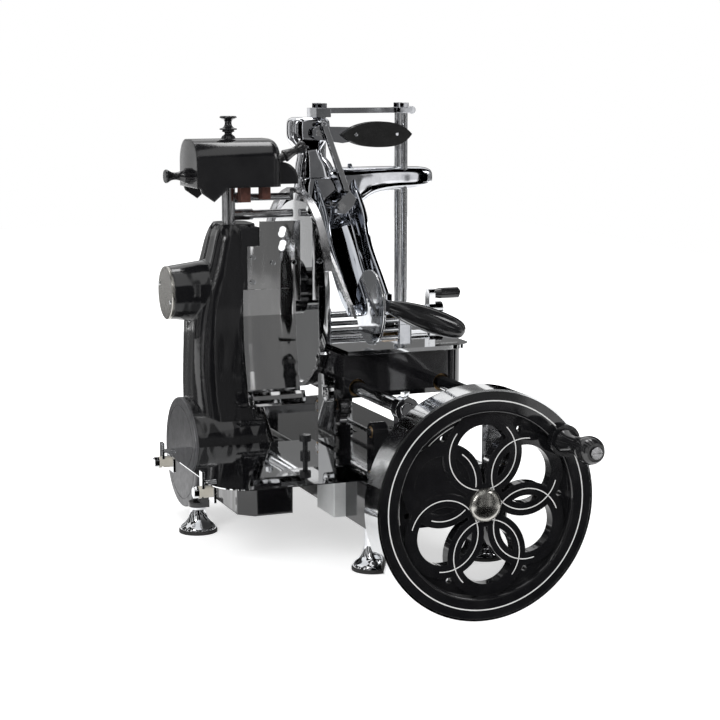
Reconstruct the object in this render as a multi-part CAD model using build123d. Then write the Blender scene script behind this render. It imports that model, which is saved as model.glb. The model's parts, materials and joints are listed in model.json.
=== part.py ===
"""Hand cranked meat slicer with a flower flywheel, built as separate pieces.

Frame, in millimetres: +X right as the operator sees it, +Y away from the operator, +Z up.
The origin is the centre of the underside of the front left foot, on the table that the feet stand on.
"""
from build123d import *
import math
import os

# ---------------------------------------------------------------- driving sizes
# Feet and bed
FOOT_HEIGHT = 65.0
SHORT_FOOT_HEIGHT = 42.0
FOOT_PAD_RADIUS = 31.0
FOOT_PAD_THICKNESS = 6.0
FOOT_BELL_RADIUS = 29.5
FOOT_NECK_RADIUS = 12.5
FRONT_RIGHT_FOOT_X = 186.0
REAR_LEFT_FOOT = (-179.0, 311.0)
REAR_RIGHT_FOOT_Y = 560.0
BED_LEFT_X = -14.0
BED_RIGHT_X = 212.0
BED_FRONT_Y = -34.0
BED_REAR_Y = 640.0
BED_HEIGHT = 70.0
BED_WALL = 8.0

# Flywheel
FLYWHEEL_X = 145.0
FLYWHEEL_FACE_Y = -95.0
SHAFT_Z = 105.0
FLYWHEEL_RADIUS = 175.0
FLYWHEEL_WIDTH = 51.0
BAND_THICKNESS = 3.0
RIM_INNER_RADIUS = 140.0
WEB_RECESS = 9.0
WEB_THICKNESS = 18.0
PETAL_COUNT = 6
PETAL_CENTRE_RADIUS = 77.0
PETAL_HOLE_RADIUS = 44.0
PETAL_RING_WIDTH = 20.0
PETAL_FIRST_ANGLE = 33.0
SOLID_PETAL = 2
CORNER_HOLE_RADIUS = 4.5
CORNER_HOLE_CENTRE_RADIUS = 124.0
FLYWHEEL_HUB_RADIUS = 31.0
FLYWHEEL_HUB_LENGTH = 50.0
HUB_CAP_RADIUS = 26.0
HUB_CAP_HEIGHT = 13.0
SHAFT_RADIUS = 12.0
CRANK_ANGLE = 37.0
CRANK_RADIUS = 152.0
CRANK_BOSS_RADIUS = 24.0
CRANK_BOSS_LENGTH = 12.0
CRANK_PIN_RADIUS = 6.0
GRIP_LENGTH = 92.0
GRIP_BALL_RADIUS = 21.0
GRIP_WAIST_RADIUS = 13.5
GRIP_SCREW_RADIUS = 14.0

# Blade and its column
BLADE_AXIS_Y = 390.0
BLADE_AXIS_Z = 382.0
BLADE_X = 20.0
BLADE_RADIUS = 158.0
BLADE_THICKNESS = 3.0
SPINDLE_RADIUS = 11.0
HUB_CAP_FACE_X = -206.0
BARREL_CAP_RADIUS = 43.5
BARREL_ROOT_RADIUS = 51.0
BARREL_ROOT_X = -128.0
SLEEVE_RADIUS = 30.0
BLADE_HUB_RADIUS = 32.0
COLUMN_LEFT_X = -171.0
COLUMN_RIGHT_X = -67.0
COLUMN_DEPTH = 112.0
COLUMN_TOP_Z = 493.0
DRUM_Z = 116.0
DRUM_RADIUS = 91.0
DRUM_FACE_X = -184.0
DRUM_COVER_THICKNESS = 6.0
DRUM_LENGTH = 124.0
GUARD_CLEARANCE = 2.0
GUARD_WIDTH = 6.0
GUARD_INNER_RADIUS = BLADE_RADIUS + GUARD_CLEARANCE
GUARD_OUTER_RADIUS = GUARD_INNER_RADIUS + GUARD_WIDTH

# Carriage and its rods
ROD_RADIUS = 11.0
ROD_LEFT_X = 50.0
ROD_RIGHT_X = 196.0
ROD_Z = 242.0
ROD_FRONT_Y = -16.0
ROD_REAR_Y = 636.0
BRACKET_LENGTH = 20.0
CARRIAGE_LEFT_X = 27.0
CARRIAGE_RIGHT_X = 240.0
CARRIAGE_FRONT_Y = 186.0
CARRIAGE_REAR_Y = 456.0
CARRIAGE_BOTTOM_Z = 224.0
CARRIAGE_TOP_Z = 294.0
BUSH_WALL = 3.5
BUSH_LENGTH = 40.0

# Meat table and its cross feed
TABLE_TOP_Z = 304.0
TABLE_THICKNESS = 6.0
TABLE_FRONT_Y = 168.0
TABLE_REAR_Y = 425.0
TABLE_RIGHT_X = 248.0
CLAMP_Y = 436.0
COLUMN_GAP_Y = 28.0
LEFT_COLUMN_X = 80.0
RIGHT_COLUMN_X = 229.0
COLUMN_RADIUS = 5.8
COLUMN_TIP_Z = 676.0
FOOT_BLOCK_X = 26.0
FOOT_BLOCK_Y = 44.0
FOOT_BLOCK_HEIGHT = 34.0
SCREW_Z = 326.0
SCREW_RADIUS = 5.0
FEED_PITCH = 10.0
FEED_TRAVEL = 95.0
FEED_CRANK_THROW = 27.0

# Running clearances
SEAT = 0.3
SHAFT_PLAY = 0.05


# ---------------------------------------------------------------- small builders
def block(x0, x1, y0, y1, z0, z1):
    """Box between two opposite corners."""
    centre = ((x0 + x1) / 2, (y0 + y1) / 2, (z0 + z1) / 2)
    return Pos(*centre) * Box(x1 - x0, y1 - y0, z1 - z0)


def bar_x(radius, x0, x1, y, z):
    """Round bar along X."""
    return Pos((x0 + x1) / 2, y, z) * Rot(0, 90, 0) * Cylinder(radius, x1 - x0)


def bar_y(radius, y0, y1, x, z):
    """Round bar along Y."""
    return Pos(x, (y0 + y1) / 2, z) * Rot(90, 0, 0) * Cylinder(radius, y1 - y0)


def bar_z(radius, z0, z1, x, y):
    """Round bar along Z."""
    return Pos(x, y, (z0 + z1) / 2) * Cylinder(radius, z1 - z0)


def turned(points):
    """Solid of revolution about +Z from an outline of (radius, height) points."""
    outline = make_face(Polyline(*[(r, 0, z) for r, z in points], close=True))
    return revolve(outline, Axis.Z)


def turned_smooth(points, spline):
    """Solid of revolution about +Z: a spline through spline, closed through points."""
    curve = Spline(*[(r, 0, z) for r, z in spline])
    rest = Polyline(*[(r, 0, z) for r, z in [spline[-1], *points, spline[0]]])
    return revolve(make_face(Wire([curve, *rest.edges()])), Axis.Z)


def aim_x(shape, x, y, z):
    """Turn a shape built along +Z so that it points along +X from (x, y, z)."""
    return Pos(x, y, z) * Rot(0, 90, 0) * shape


def aim_back_x(shape, x, y, z):
    """Turn a shape built along +Z so that it points along -X from (x, y, z)."""
    return Pos(x, y, z) * Rot(0, -90, 0) * shape


def aim_front(shape, x, y, z):
    """Turn a shape built along +Z so that it points along -Y from (x, y, z)."""
    return Pos(x, y, z) * Rot(90, 0, 0) * shape


def hexagon(across_flats, height):
    """Hexagonal bolt head or nut along +Z, standing on its base."""
    return extrude(RegularPolygon(across_flats / 2, 6, major_radius=False), height)


def toothed_wheel(teeth, tip_radius, root_radius, width, tooth_share=0.42):
    """Wheel along +Z, centred on its width, with straight sided teeth."""
    outline = []
    for index in range(teeth):
        middle = 2 * math.pi * index / teeth
        half_root = math.pi / teeth * tooth_share * 1.35
        half_tip = math.pi / teeth * tooth_share * 0.75
        for radius, angle in (
            (root_radius, middle - half_root),
            (tip_radius, middle - half_tip),
            (tip_radius, middle + half_tip),
            (root_radius, middle + half_root),
        ):
            outline.append((radius * math.cos(angle), radius * math.sin(angle)))
    return extrude(make_face(Polyline(*outline, close=True)), width / 2, both=True)


# ---------------------------------------------------------------- feet
def foot(x, y, height):
    """Chrome bell foot that screws into the base."""
    bell = turned_smooth(
        [(FOOT_NECK_RADIUS, height), (0, height), (0, FOOT_PAD_THICKNESS)],
        [
            (FOOT_BELL_RADIUS, FOOT_PAD_THICKNESS),
            (FOOT_BELL_RADIUS - 1.5, 10),
            (FOOT_NECK_RADIUS + 8, 17),
            (FOOT_NECK_RADIUS + 2.5, 27),
            (FOOT_NECK_RADIUS, 38),
        ],
    )
    return Pos(x, y, 0) * bell


def foot_pad(x, y):
    """Rubber pad under a foot."""
    pad = bar_z(FOOT_PAD_RADIUS, 0, FOOT_PAD_THICKNESS, x, y)
    return fillet(pad.edges().group_by(Axis.Z)[-1], 2.0)


FOOT_PLACES = {
    "front_left": (0.0, 0.0, FOOT_HEIGHT),
    "front_right": (FRONT_RIGHT_FOOT_X, 0.0, FOOT_HEIGHT),
    "rear_left": (*REAR_LEFT_FOOT, SHORT_FOOT_HEIGHT),
    "rear_right": (FRONT_RIGHT_FOOT_X, REAR_RIGHT_FOOT_Y, FOOT_HEIGHT),
}


# ---------------------------------------------------------------- bed
DECK_Z = FOOT_HEIGHT + BED_HEIGHT
SHAFT_BUSH_WALL = 4.0
SHAFT_BUSH_RADIUS = SHAFT_RADIUS + SHAFT_BUSH_WALL
CROSS_SHAFT_Y = BLADE_AXIS_Y
CROSS_SHAFT_RADIUS = 9.0
CROSS_BUSH_RADIUS = CROSS_SHAFT_RADIUS + SHAFT_BUSH_WALL
CHAIN_X = 109.0
CHAIN_WIDTH = 5.0
FEED_GEAR_TEETH = 36
GEAR_MODULE = 2.0
FEED_GEAR_RADIUS = FEED_GEAR_TEETH * GEAR_MODULE / 2
FEED_GEAR_WIDTH = 12.0
FEED_GEAR_X = 93.0
SPROCKET_SHAFT_Z = SHAFT_Z + 2 * FEED_GEAR_RADIUS
SPROCKET_SHAFT_RADIUS = 7.0
FRONT_SPROCKET_Y = 150.0
PEDESTAL_X = (58.0, 82.0)
PEDESTAL_WIDTH = 30.0
REAR_BEARING_Y = (318.0, 338.0)
FRONT_BEARING_Y = (BED_FRONT_Y - 6.0, BED_FRONT_Y + 24.0)
BEVEL_RADIUS = 28.0
BEVEL_LENGTH = 10.0
TRAY_Z = DECK_Z + 5.0


def bed_casting():
    """Open-bottomed cast bed with foot bosses, shaft bearings and gear window."""
    shell = block(BED_LEFT_X, BED_RIGHT_X, BED_FRONT_Y, BED_REAR_Y, FOOT_HEIGHT, DECK_Z)
    shell = fillet(shell.edges().filter_by(Axis.Z), 12)
    shell = fillet(shell.edges().group_by(Axis.Z)[-1], 4)
    shell -= block(
        BED_LEFT_X + BED_WALL,
        BED_RIGHT_X - BED_WALL,
        BED_FRONT_Y + BED_WALL,
        BED_REAR_Y - BED_WALL,
        FOOT_HEIGHT - 1,
        DECK_Z - BED_WALL,
    )
    for name in ("front_left", "front_right", "rear_right"):
        x, y, top = FOOT_PLACES[name]
        shell += bar_z(FOOT_NECK_RADIUS + 1, top, DECK_Z - BED_WALL / 2, x, y)
    for y0, y1 in (FRONT_BEARING_Y, REAR_BEARING_Y):
        shell += bar_y(SHAFT_BUSH_RADIUS + 8, y0, y1, FLYWHEEL_X, SHAFT_Z)
        shell += block(FLYWHEEL_X - 12, FLYWHEEL_X + 12, max(y0, BED_FRONT_Y + 1), y1, SHAFT_Z, DECK_Z - 2)
        shell -= bar_y(SHAFT_BUSH_RADIUS, y0 - 1, y1 + 1, FLYWHEEL_X, SHAFT_Z)
    inner_bearing_x = PEDESTAL_X
    shell += bar_x(CROSS_BUSH_RADIUS + 7, *inner_bearing_x, CROSS_SHAFT_Y, SHAFT_Z)
    shell += block(*inner_bearing_x, CROSS_SHAFT_Y - 12, CROSS_SHAFT_Y + 12, SHAFT_Z, DECK_Z - 2)
    shell -= bar_x(CROSS_BUSH_RADIUS, BED_LEFT_X - 1, PEDESTAL_X[1] + 1, CROSS_SHAFT_Y, SHAFT_Z)
    window_half = FEED_GEAR_RADIUS + 6
    shell -= block(
        FEED_GEAR_X - FEED_GEAR_WIDTH / 2 - 4,
        CHAIN_X + 8,
        CROSS_SHAFT_Y - window_half,
        CROSS_SHAFT_Y + window_half,
        DECK_Z - BED_WALL - 1,
        DECK_Z + 1,
    )
    gear_reach = BEVEL_RADIUS + 6
    return shell - block(
        CHAIN_X,
        FLYWHEEL_X + gear_reach,
        CROSS_SHAFT_Y - gear_reach,
        CROSS_SHAFT_Y + gear_reach,
        DECK_Z - BED_WALL - 1,
        DECK_Z - 1.2,
    )


def rod_bracket(y0, y1):
    """Pair of posts that clamp the ends of both carriage rods to the bed."""
    posts = None
    for x in (ROD_LEFT_X, ROD_RIGHT_X):
        post = block(x - 14, x + 14, y0, y1, DECK_Z, ROD_Z)
        post += bar_y(ROD_RADIUS + 8, y0, y1, x, ROD_Z)
        post -= bar_y(ROD_RADIUS, y0 - 1, y1 + 1, x, ROD_Z)
        posts = post if posts is None else posts + post
    middle = (y0 + y1) / 2
    brace = block(ROD_LEFT_X - 14, ROD_RIGHT_X + 14, middle - 4, middle + 4, DECK_Z, DECK_Z + 14)
    return posts + brace


def carriage_rod(x):
    """Ground round rod along Y that the carriage runs on."""
    rod = bar_y(ROD_RADIUS, ROD_FRONT_Y, ROD_REAR_Y, x, ROD_Z)
    return chamfer(rod.edges(), 1.0)


def rod_nuts():
    """Four hexagon nuts, one above each clamped rod end."""
    nuts = []
    for x in (ROD_LEFT_X, ROD_RIGHT_X):
        for y in (ROD_FRONT_Y + BRACKET_LENGTH / 2, ROD_REAR_Y - BRACKET_LENGTH / 2):
            nuts.append(Pos(x, y, ROD_Z + ROD_RADIUS + 8) * hexagon(12, 7))
    return Compound(children=nuts)


def drive_pedestal(y):
    """Bearing pedestal on the deck for a sprocket shaft."""
    x0, x1 = PEDESTAL_X
    body = block(x0, x1, y - PEDESTAL_WIDTH / 2, y + PEDESTAL_WIDTH / 2, DECK_Z, SPROCKET_SHAFT_Z)
    body += bar_x(PEDESTAL_WIDTH / 2, x0, x1, y, SPROCKET_SHAFT_Z)
    body -= bar_x(SPROCKET_SHAFT_RADIUS + 3, x0 - 1, x1 + 1, y, SPROCKET_SHAFT_Z)
    return body


def ring_y(outer, inner, y0, y1, x, z):
    """Plain bush along Y."""
    return bar_y(outer, y0, y1, x, z) - bar_y(inner, y0 - 1, y1 + 1, x, z)


def ring_x(outer, inner, x0, x1, y, z):
    """Plain bush along X."""
    return bar_x(outer, x0, x1, y, z) - bar_x(inner, x0 - 1, x1 + 1, y, z)


def shaft_bushes():
    """Bronze bushes for the flywheel shaft."""
    inner = SHAFT_RADIUS + SHAFT_PLAY
    return Compound(
        children=[
            ring_y(SHAFT_BUSH_RADIUS, inner, *FRONT_BEARING_Y, FLYWHEEL_X, SHAFT_Z),
            ring_y(SHAFT_BUSH_RADIUS, inner, *REAR_BEARING_Y, FLYWHEEL_X, SHAFT_Z),
        ]
    )


def cross_bushes():
    """Bronze bushes for the cross shaft and both sprocket shafts."""
    inner = CROSS_SHAFT_RADIUS + SHAFT_PLAY
    bushes = [
        ring_x(CROSS_BUSH_RADIUS, inner, BED_LEFT_X, BED_LEFT_X + BED_WALL, CROSS_SHAFT_Y, SHAFT_Z),
        ring_x(CROSS_BUSH_RADIUS, inner, *PEDESTAL_X, CROSS_SHAFT_Y, SHAFT_Z),
    ]
    for y in (FRONT_SPROCKET_Y, CROSS_SHAFT_Y):
        bushes.append(
            ring_x(
                SPROCKET_SHAFT_RADIUS + 3,
                SPROCKET_SHAFT_RADIUS + SHAFT_PLAY,
                *PEDESTAL_X,
                y,
                SPROCKET_SHAFT_Z,
            )
        )
    return Compound(children=bushes)


# ---------------------------------------------------------------- drive train
SPROCKET_RADIUS = 24.0
SPROCKET_TEETH = 12
BLADE_DRIVE_X = -120.0
BLADE_DRIVE_WIDTH = 10.0
LOWER_SPROCKET_RADIUS = 54.0
LOWER_SPROCKET_TEETH = 36
UPPER_SPROCKET_RADIUS = 18.0
UPPER_SPROCKET_TEETH = 12
CHAIN_BAND = 4.0
TOOTH_CLEARANCE = 0.4


def bevel_gear():
    """Mitre gear along +Z: its big end stands at height 0, its apex at BEVEL_RADIUS."""
    small = BEVEL_RADIUS - BEVEL_LENGTH
    root = 2.4
    teeth = 24
    gear = turned([(0, 0), (BEVEL_RADIUS - root, 0), (small - root, BEVEL_LENGTH), (0, BEVEL_LENGTH)])
    middle = Pos((BEVEL_RADIUS + small) / 2, 0, BEVEL_LENGTH / 2)
    tooth = middle * Rot(0, 45, 0) * Pos(0, 0, -0.45) * Box(BEVEL_LENGTH * math.sqrt(2) - 4, 2.1, 3.0)
    for index in range(teeth):
        gear += Rot(0, 0, 360 * index / teeth) * tooth
    return gear


def flywheel_shaft():
    """Main shaft along Y with its mitre gear end."""
    end = CROSS_SHAFT_Y - BEVEL_RADIUS - 0.5
    return bar_y(SHAFT_RADIUS, FLYWHEEL_FACE_Y + WEB_RECESS, end, FLYWHEEL_X, SHAFT_Z)


def flywheel_bevel():
    """Mitre gear on the flywheel shaft, facing +Y."""
    gear = Rot(-90, 0, 0) * bevel_gear()
    gear = Pos(FLYWHEEL_X, CROSS_SHAFT_Y - BEVEL_RADIUS, SHAFT_Z) * gear
    collar = ring_y(18, SHAFT_RADIUS, REAR_BEARING_Y[1] + 1, CROSS_SHAFT_Y - BEVEL_RADIUS, FLYWHEEL_X, SHAFT_Z)
    bore = bar_y(SHAFT_RADIUS, REAR_BEARING_Y[1], CROSS_SHAFT_Y - BEVEL_RADIUS - 0.5, FLYWHEEL_X, SHAFT_Z)
    return gear + collar - bore


def cross_shaft():
    """Cross shaft along X that carries power to the blade column."""
    x0 = BLADE_DRIVE_X - BLADE_DRIVE_WIDTH
    x1 = FLYWHEEL_X - BEVEL_RADIUS - 0.5
    return bar_x(CROSS_SHAFT_RADIUS, x0, x1, CROSS_SHAFT_Y, SHAFT_Z)


def cross_bevel():
    """Mitre gear on the cross shaft, facing +X, half a tooth round from its mate."""
    gear = Rot(0, 0, 180 / 24) * bevel_gear()
    gear = aim_x(gear, FLYWHEEL_X - BEVEL_RADIUS, CROSS_SHAFT_Y, SHAFT_Z)
    collar_x = FEED_GEAR_X + FEED_GEAR_WIDTH / 2 + SEAT
    collar = ring_x(14, CROSS_SHAFT_RADIUS, collar_x, FLYWHEEL_X - BEVEL_RADIUS, CROSS_SHAFT_Y, SHAFT_Z)
    bore_end = FLYWHEEL_X - BEVEL_RADIUS - 0.5
    return gear + collar - bar_x(CROSS_SHAFT_RADIUS, collar_x - 1, bore_end, CROSS_SHAFT_Y, SHAFT_Z)


def feed_gear(z, turn):
    """Spur gear that lifts the drive from the cross shaft to the sprocket shaft."""
    gear = toothed_wheel(FEED_GEAR_TEETH, FEED_GEAR_RADIUS + 1.4, FEED_GEAR_RADIUS - 2.0, FEED_GEAR_WIDTH)
    return aim_x(Rot(0, 0, turn) * gear, FEED_GEAR_X, CROSS_SHAFT_Y, z)


def lower_feed_gear():
    """Gear on the cross shaft."""
    gear = feed_gear(SHAFT_Z, 0)
    return gear - bar_x(CROSS_SHAFT_RADIUS, FEED_GEAR_X - 20, FEED_GEAR_X + 20, CROSS_SHAFT_Y, SHAFT_Z)


def upper_feed_gear():
    """Gear on the rear sprocket shaft, half a tooth round from the lower one."""
    gear = feed_gear(SPROCKET_SHAFT_Z, 180 / FEED_GEAR_TEETH)
    bore = bar_x(SPROCKET_SHAFT_RADIUS, FEED_GEAR_X - 20, FEED_GEAR_X + 20, CROSS_SHAFT_Y, SPROCKET_SHAFT_Z)
    return gear - bore


def sprocket_with_shaft(y):
    """Small chain wheel made in one with its shaft."""
    wheel = toothed_wheel(SPROCKET_TEETH, SPROCKET_RADIUS, SPROCKET_RADIUS - 5, CHAIN_WIDTH)
    wheel = aim_x(wheel, CHAIN_X, y, SPROCKET_SHAFT_Z)
    shaft = bar_x(
        SPROCKET_SHAFT_RADIUS,
        PEDESTAL_X[0] - 2,
        CHAIN_X + CHAIN_WIDTH / 2 + 2,
        y,
        SPROCKET_SHAFT_Z,
    )
    return wheel + shaft


def blade_sprocket(radius, teeth, z, bore):
    """Chain wheel of the blade drive."""
    wheel = toothed_wheel(teeth, radius, radius - 5, BLADE_DRIVE_WIDTH / 2)
    wheel = aim_x(wheel, BLADE_DRIVE_X, BLADE_AXIS_Y, z)
    return wheel - bar_x(bore, BLADE_DRIVE_X - 20, BLADE_DRIVE_X + 20, BLADE_AXIS_Y, z)


def hull_of(circles):
    """Face round two circles, given as (radius, u, v), by their outer tangents."""
    return make_hull([Pos(u, v) * edge for r, u, v in circles for edge in Circle(r).edges()])


def chain_loop(circles, width, links):
    """Endless chain round two circles, as a band with link plates on its outside."""
    inner = [(r + TOOTH_CLEARANCE, u, v) for r, u, v in circles]
    outer = [(r + TOOTH_CLEARANCE + CHAIN_BAND, u, v) for r, u, v in circles]
    band = extrude(hull_of(outer), width / 2, both=True) - extrude(hull_of(inner), width, both=True)
    path = hull_of(outer).face().outer_wire()
    plate = Box(path.length / links * 0.62, 2.0, width + 3.0)
    for index in range(links):
        share = (index + 0.5) / links
        spot = path.position_at(share)
        heading = path.tangent_at(share)
        angle = math.degrees(math.atan2(heading.Y, heading.X))
        band += Pos(spot.X, spot.Y, 0) * Rot(0, 0, angle) * plate
    return band


def stand_on_x(shape, x):
    """Carry a shape drawn with local X along Y and local Y along Z to the plane at x."""
    plane = Plane(origin=(x, 0, 0), x_dir=(0, 1, 0), z_dir=(1, 0, 0))
    return plane * shape


def carriage_chain():
    """Endless chain that draws the carriage to and fro."""
    circles = [
        (SPROCKET_RADIUS, FRONT_SPROCKET_Y, SPROCKET_SHAFT_Z),
        (SPROCKET_RADIUS, CROSS_SHAFT_Y, SPROCKET_SHAFT_Z),
    ]
    return stand_on_x(chain_loop(circles, CHAIN_WIDTH, 44), CHAIN_X)


def blade_chain():
    """Endless chain inside the column that turns the blade."""
    circles = [
        (LOWER_SPROCKET_RADIUS, BLADE_AXIS_Y, SHAFT_Z),
        (UPPER_SPROCKET_RADIUS, BLADE_AXIS_Y, BLADE_AXIS_Z),
    ]
    return stand_on_x(chain_loop(circles, BLADE_DRIVE_WIDTH / 2, 40), BLADE_DRIVE_X)


# ---------------------------------------------------------------- tower
TOWER_LEFT_FLANGE_X = -60.0
SPINDLE_BUSH_RADIUS = SPINDLE_RADIUS + SHAFT_BUSH_WALL
TOWER_SECTIONS = (
    (66.0, -150.0, -26.0, 68.0),
    (100.0, -160.0, -30.0, 76.0),
    (141.0, -166.0, -38.0, 76.0),
    (180.0, -168.0, -48.0, 68.0),
    (230.0, -170.0, -60.0, 59.0),
    (300.0, -168.0, -70.0, 56.0),
    (370.0, -160.0, -67.0, 56.0),
    (430.0, -138.0, -65.0, 52.0),
    (480.0, -124.0, -60.0, 44.0),
    (COLUMN_TOP_Z, -116.0, -60.0, 38.0),
)
TOE_BOX = (-165.0, -82.0, 121.0, 320.0, FOOT_HEIGHT, DECK_Z)
PLATE_Y = 334.0
SHEET = 2.0
SPROCKET_SLOT_X = (BLADE_DRIVE_X - 12.0, BLADE_DRIVE_X + 14.0)
DRUM_WALL = 8.0
SLEEVE_LEFT_X = -62.0
GUARD_ARM_X = (-96.0, -76.0)
GUARD_ARM_Z = (322.0, 346.0)
STEM_X = -98.0


def tower_casting():
    """Fluted column with the chain drum, the blade barrel, a toe box and the bed flange."""
    sections = []
    for z, x0, x1, half_depth in TOWER_SECTIONS:
        corner = min(x1 - x0, 2 * half_depth) * 0.3
        sections.append(Pos((x0 + x1) / 2, BLADE_AXIS_Y, z) * RectangleRounded(x1 - x0, 2 * half_depth, corner))
    tower = loft([Sketch() + section for section in sections])
    cover_x = DRUM_FACE_X + DRUM_COVER_THICKNESS
    tower += bar_x(DRUM_RADIUS, cover_x, DRUM_FACE_X + DRUM_LENGTH, BLADE_AXIS_Y, DRUM_Z)
    toe = chamfer(block(*TOE_BOX).edges().filter_by(Axis.Z).group_by(Axis.Y)[0].sort_by(Axis.X)[0], 24)
    tower += fillet(toe.edges().group_by(Axis.Y)[0], 3)
    tower += block(TOWER_LEFT_FLANGE_X, BED_LEFT_X, BLADE_AXIS_Y - 64, BLADE_AXIS_Y + 64, 72, 130)
    x, y, top = FOOT_PLACES["rear_left"]
    tower += bar_z(15, top, top + 8, x, y)
    tower += block(cover_x + 0.2, x + 15, y - 15, y + 20, top, DRUM_Z)
    barrel = turned(
        [
            (0, 0),
            (BARREL_ROOT_RADIUS, 0),
            (BARREL_ROOT_RADIUS, 14),
            (BARREL_CAP_RADIUS, BARREL_ROOT_X - HUB_CAP_FACE_X - 5),
            (0, BARREL_ROOT_X - HUB_CAP_FACE_X - 5),
        ]
    )
    tower += aim_back_x(barrel, BARREL_ROOT_X, BLADE_AXIS_Y, BLADE_AXIS_Z)
    tower += block(-92, SLEEVE_LEFT_X, PLATE_Y + SHEET, 358, 372, COLUMN_TOP_Z - 4)
    tower += bar_x(SLEEVE_RADIUS + 6, -90, SLEEVE_LEFT_X, BLADE_AXIS_Y, BLADE_AXIS_Z)
    tower -= block(*GUARD_ARM_X, BLADE_AXIS_Y + 40, BLADE_AXIS_Y + 90, *GUARD_ARM_Z)
    tower -= bar_x(DRUM_RADIUS - DRUM_WALL, cover_x - 1, SPROCKET_SLOT_X[1], BLADE_AXIS_Y, SHAFT_Z)
    slot_circles = [
        (LOWER_SPROCKET_RADIUS + 10, BLADE_AXIS_Y, SHAFT_Z),
        (UPPER_SPROCKET_RADIUS + 10, BLADE_AXIS_Y, BLADE_AXIS_Z),
    ]
    slot = extrude(hull_of(slot_circles), (SPROCKET_SLOT_X[1] - SPROCKET_SLOT_X[0]) / 2, both=True)
    tower -= stand_on_x(slot, sum(SPROCKET_SLOT_X) / 2)
    tower -= bar_x(CROSS_BUSH_RADIUS, SPROCKET_SLOT_X[0], BED_LEFT_X + 1, BLADE_AXIS_Y, SHAFT_Z)
    tower -= bar_x(SPINDLE_BUSH_RADIUS, HUB_CAP_FACE_X + 20, 0, BLADE_AXIS_Y, BLADE_AXIS_Z)
    return tower


def spindle_bushes():
    """Bronze bushes for the blade spindle and for the tower end of the cross shaft."""
    spindle = SPINDLE_RADIUS + SHAFT_PLAY
    cross = CROSS_SHAFT_RADIUS + SHAFT_PLAY
    return Compound(
        children=[
            ring_x(SPINDLE_BUSH_RADIUS, spindle, HUB_CAP_FACE_X + 20, SPROCKET_SLOT_X[0], BLADE_AXIS_Y, BLADE_AXIS_Z),
            ring_x(SPINDLE_BUSH_RADIUS, spindle, SPROCKET_SLOT_X[1], -64, BLADE_AXIS_Y, BLADE_AXIS_Z),
            ring_x(CROSS_BUSH_RADIUS, cross, SPROCKET_SLOT_X[1], TOWER_LEFT_FLANGE_X, BLADE_AXIS_Y, SHAFT_Z),
        ]
    )


def barrel_cap():
    """Polished end cap of the blade barrel."""
    cap = bar_x(BARREL_CAP_RADIUS, HUB_CAP_FACE_X, HUB_CAP_FACE_X + 5, BLADE_AXIS_Y, BLADE_AXIS_Z)
    return fillet(cap.edges().group_by(Axis.X)[0], 2)


def cap_screws():
    """Two small slotted screws near the rim of the barrel cap."""
    screws = []
    for angle in (200, 20):
        y = BLADE_AXIS_Y + 35 * math.cos(math.radians(angle))
        z = BLADE_AXIS_Z + 35 * math.sin(math.radians(angle))
        head = bar_x(3.2, HUB_CAP_FACE_X - 1.6, HUB_CAP_FACE_X, y, z)
        screws.append(head - block(HUB_CAP_FACE_X - 2, HUB_CAP_FACE_X - 0.8, y - 0.5, y + 0.5, z - 4, z + 4))
    return Compound(children=screws)


def drum_cover():
    """Round dull grey cover over the open side of the drum, with one turned groove."""
    face_x = DRUM_FACE_X
    cover = bar_x(DRUM_RADIUS, face_x, face_x + DRUM_COVER_THICKNESS, BLADE_AXIS_Y, DRUM_Z)
    cover = fillet(cover.edges().group_by(Axis.X)[0], 2.5)
    return cover - ring_x(78, 76.6, face_x - 1, face_x + 0.8, BLADE_AXIS_Y, DRUM_Z)


def spindle_sleeve():
    """Polished sleeve between the column and the blade hub."""
    return ring_x(SLEEVE_RADIUS, SPINDLE_RADIUS + 2, SLEEVE_LEFT_X, -23, BLADE_AXIS_Y, BLADE_AXIS_Z)


# ---------------------------------------------------------------- tray
TRAY_LEFT_X = -238.0
TRAY_RIGHT_X = 13.0
TRAY_FRONT_Y = -12.0
TRAY_REAR_Y = 310.0
TRAY_BOTTOM_Z = DECK_Z + 4.5
TRAY_SHEET = 1.5
CLAMP_YS = (65.0, 285.0)
TRAY_KNOB = (-42.0, 177.0)


def slice_tray():
    """Mirror sheet that catches the slices, with rounded left corners."""
    sheet = block(
        TRAY_LEFT_X, TRAY_RIGHT_X, TRAY_FRONT_Y, TRAY_REAR_Y, TRAY_BOTTOM_Z, TRAY_BOTTOM_Z + TRAY_SHEET
    )
    left = sheet.edges().filter_by(Axis.Z).group_by(Axis.X)[0].sort_by(Axis.Y)
    sheet = fillet(left[0], 60)
    left = sheet.edges().filter_by(Axis.Z).group_by(Axis.X)[0].sort_by(Axis.Y)
    sheet = fillet(left[-1], 12)
    tower_gap = block(-190, TRAY_RIGHT_X + 1, 296, TRAY_REAR_Y + 1, TRAY_BOTTOM_Z - 1, TRAY_BOTTOM_Z + 3)
    return sheet - tower_gap - bar_z(4.1, TRAY_BOTTOM_Z - 1, TRAY_BOTTOM_Z + 3, *TRAY_KNOB)


def tray_spacers():
    """Rubber buttons that carry the tray on the deck and on the toe box."""
    places = ((-2.0, 20.0), (-2.0, 280.0), (-145.0, 160.0), (-98.0, 140.0))
    return Compound(children=[bar_z(9, DECK_Z, TRAY_BOTTOM_Z, x, y) for x, y in places])


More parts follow.
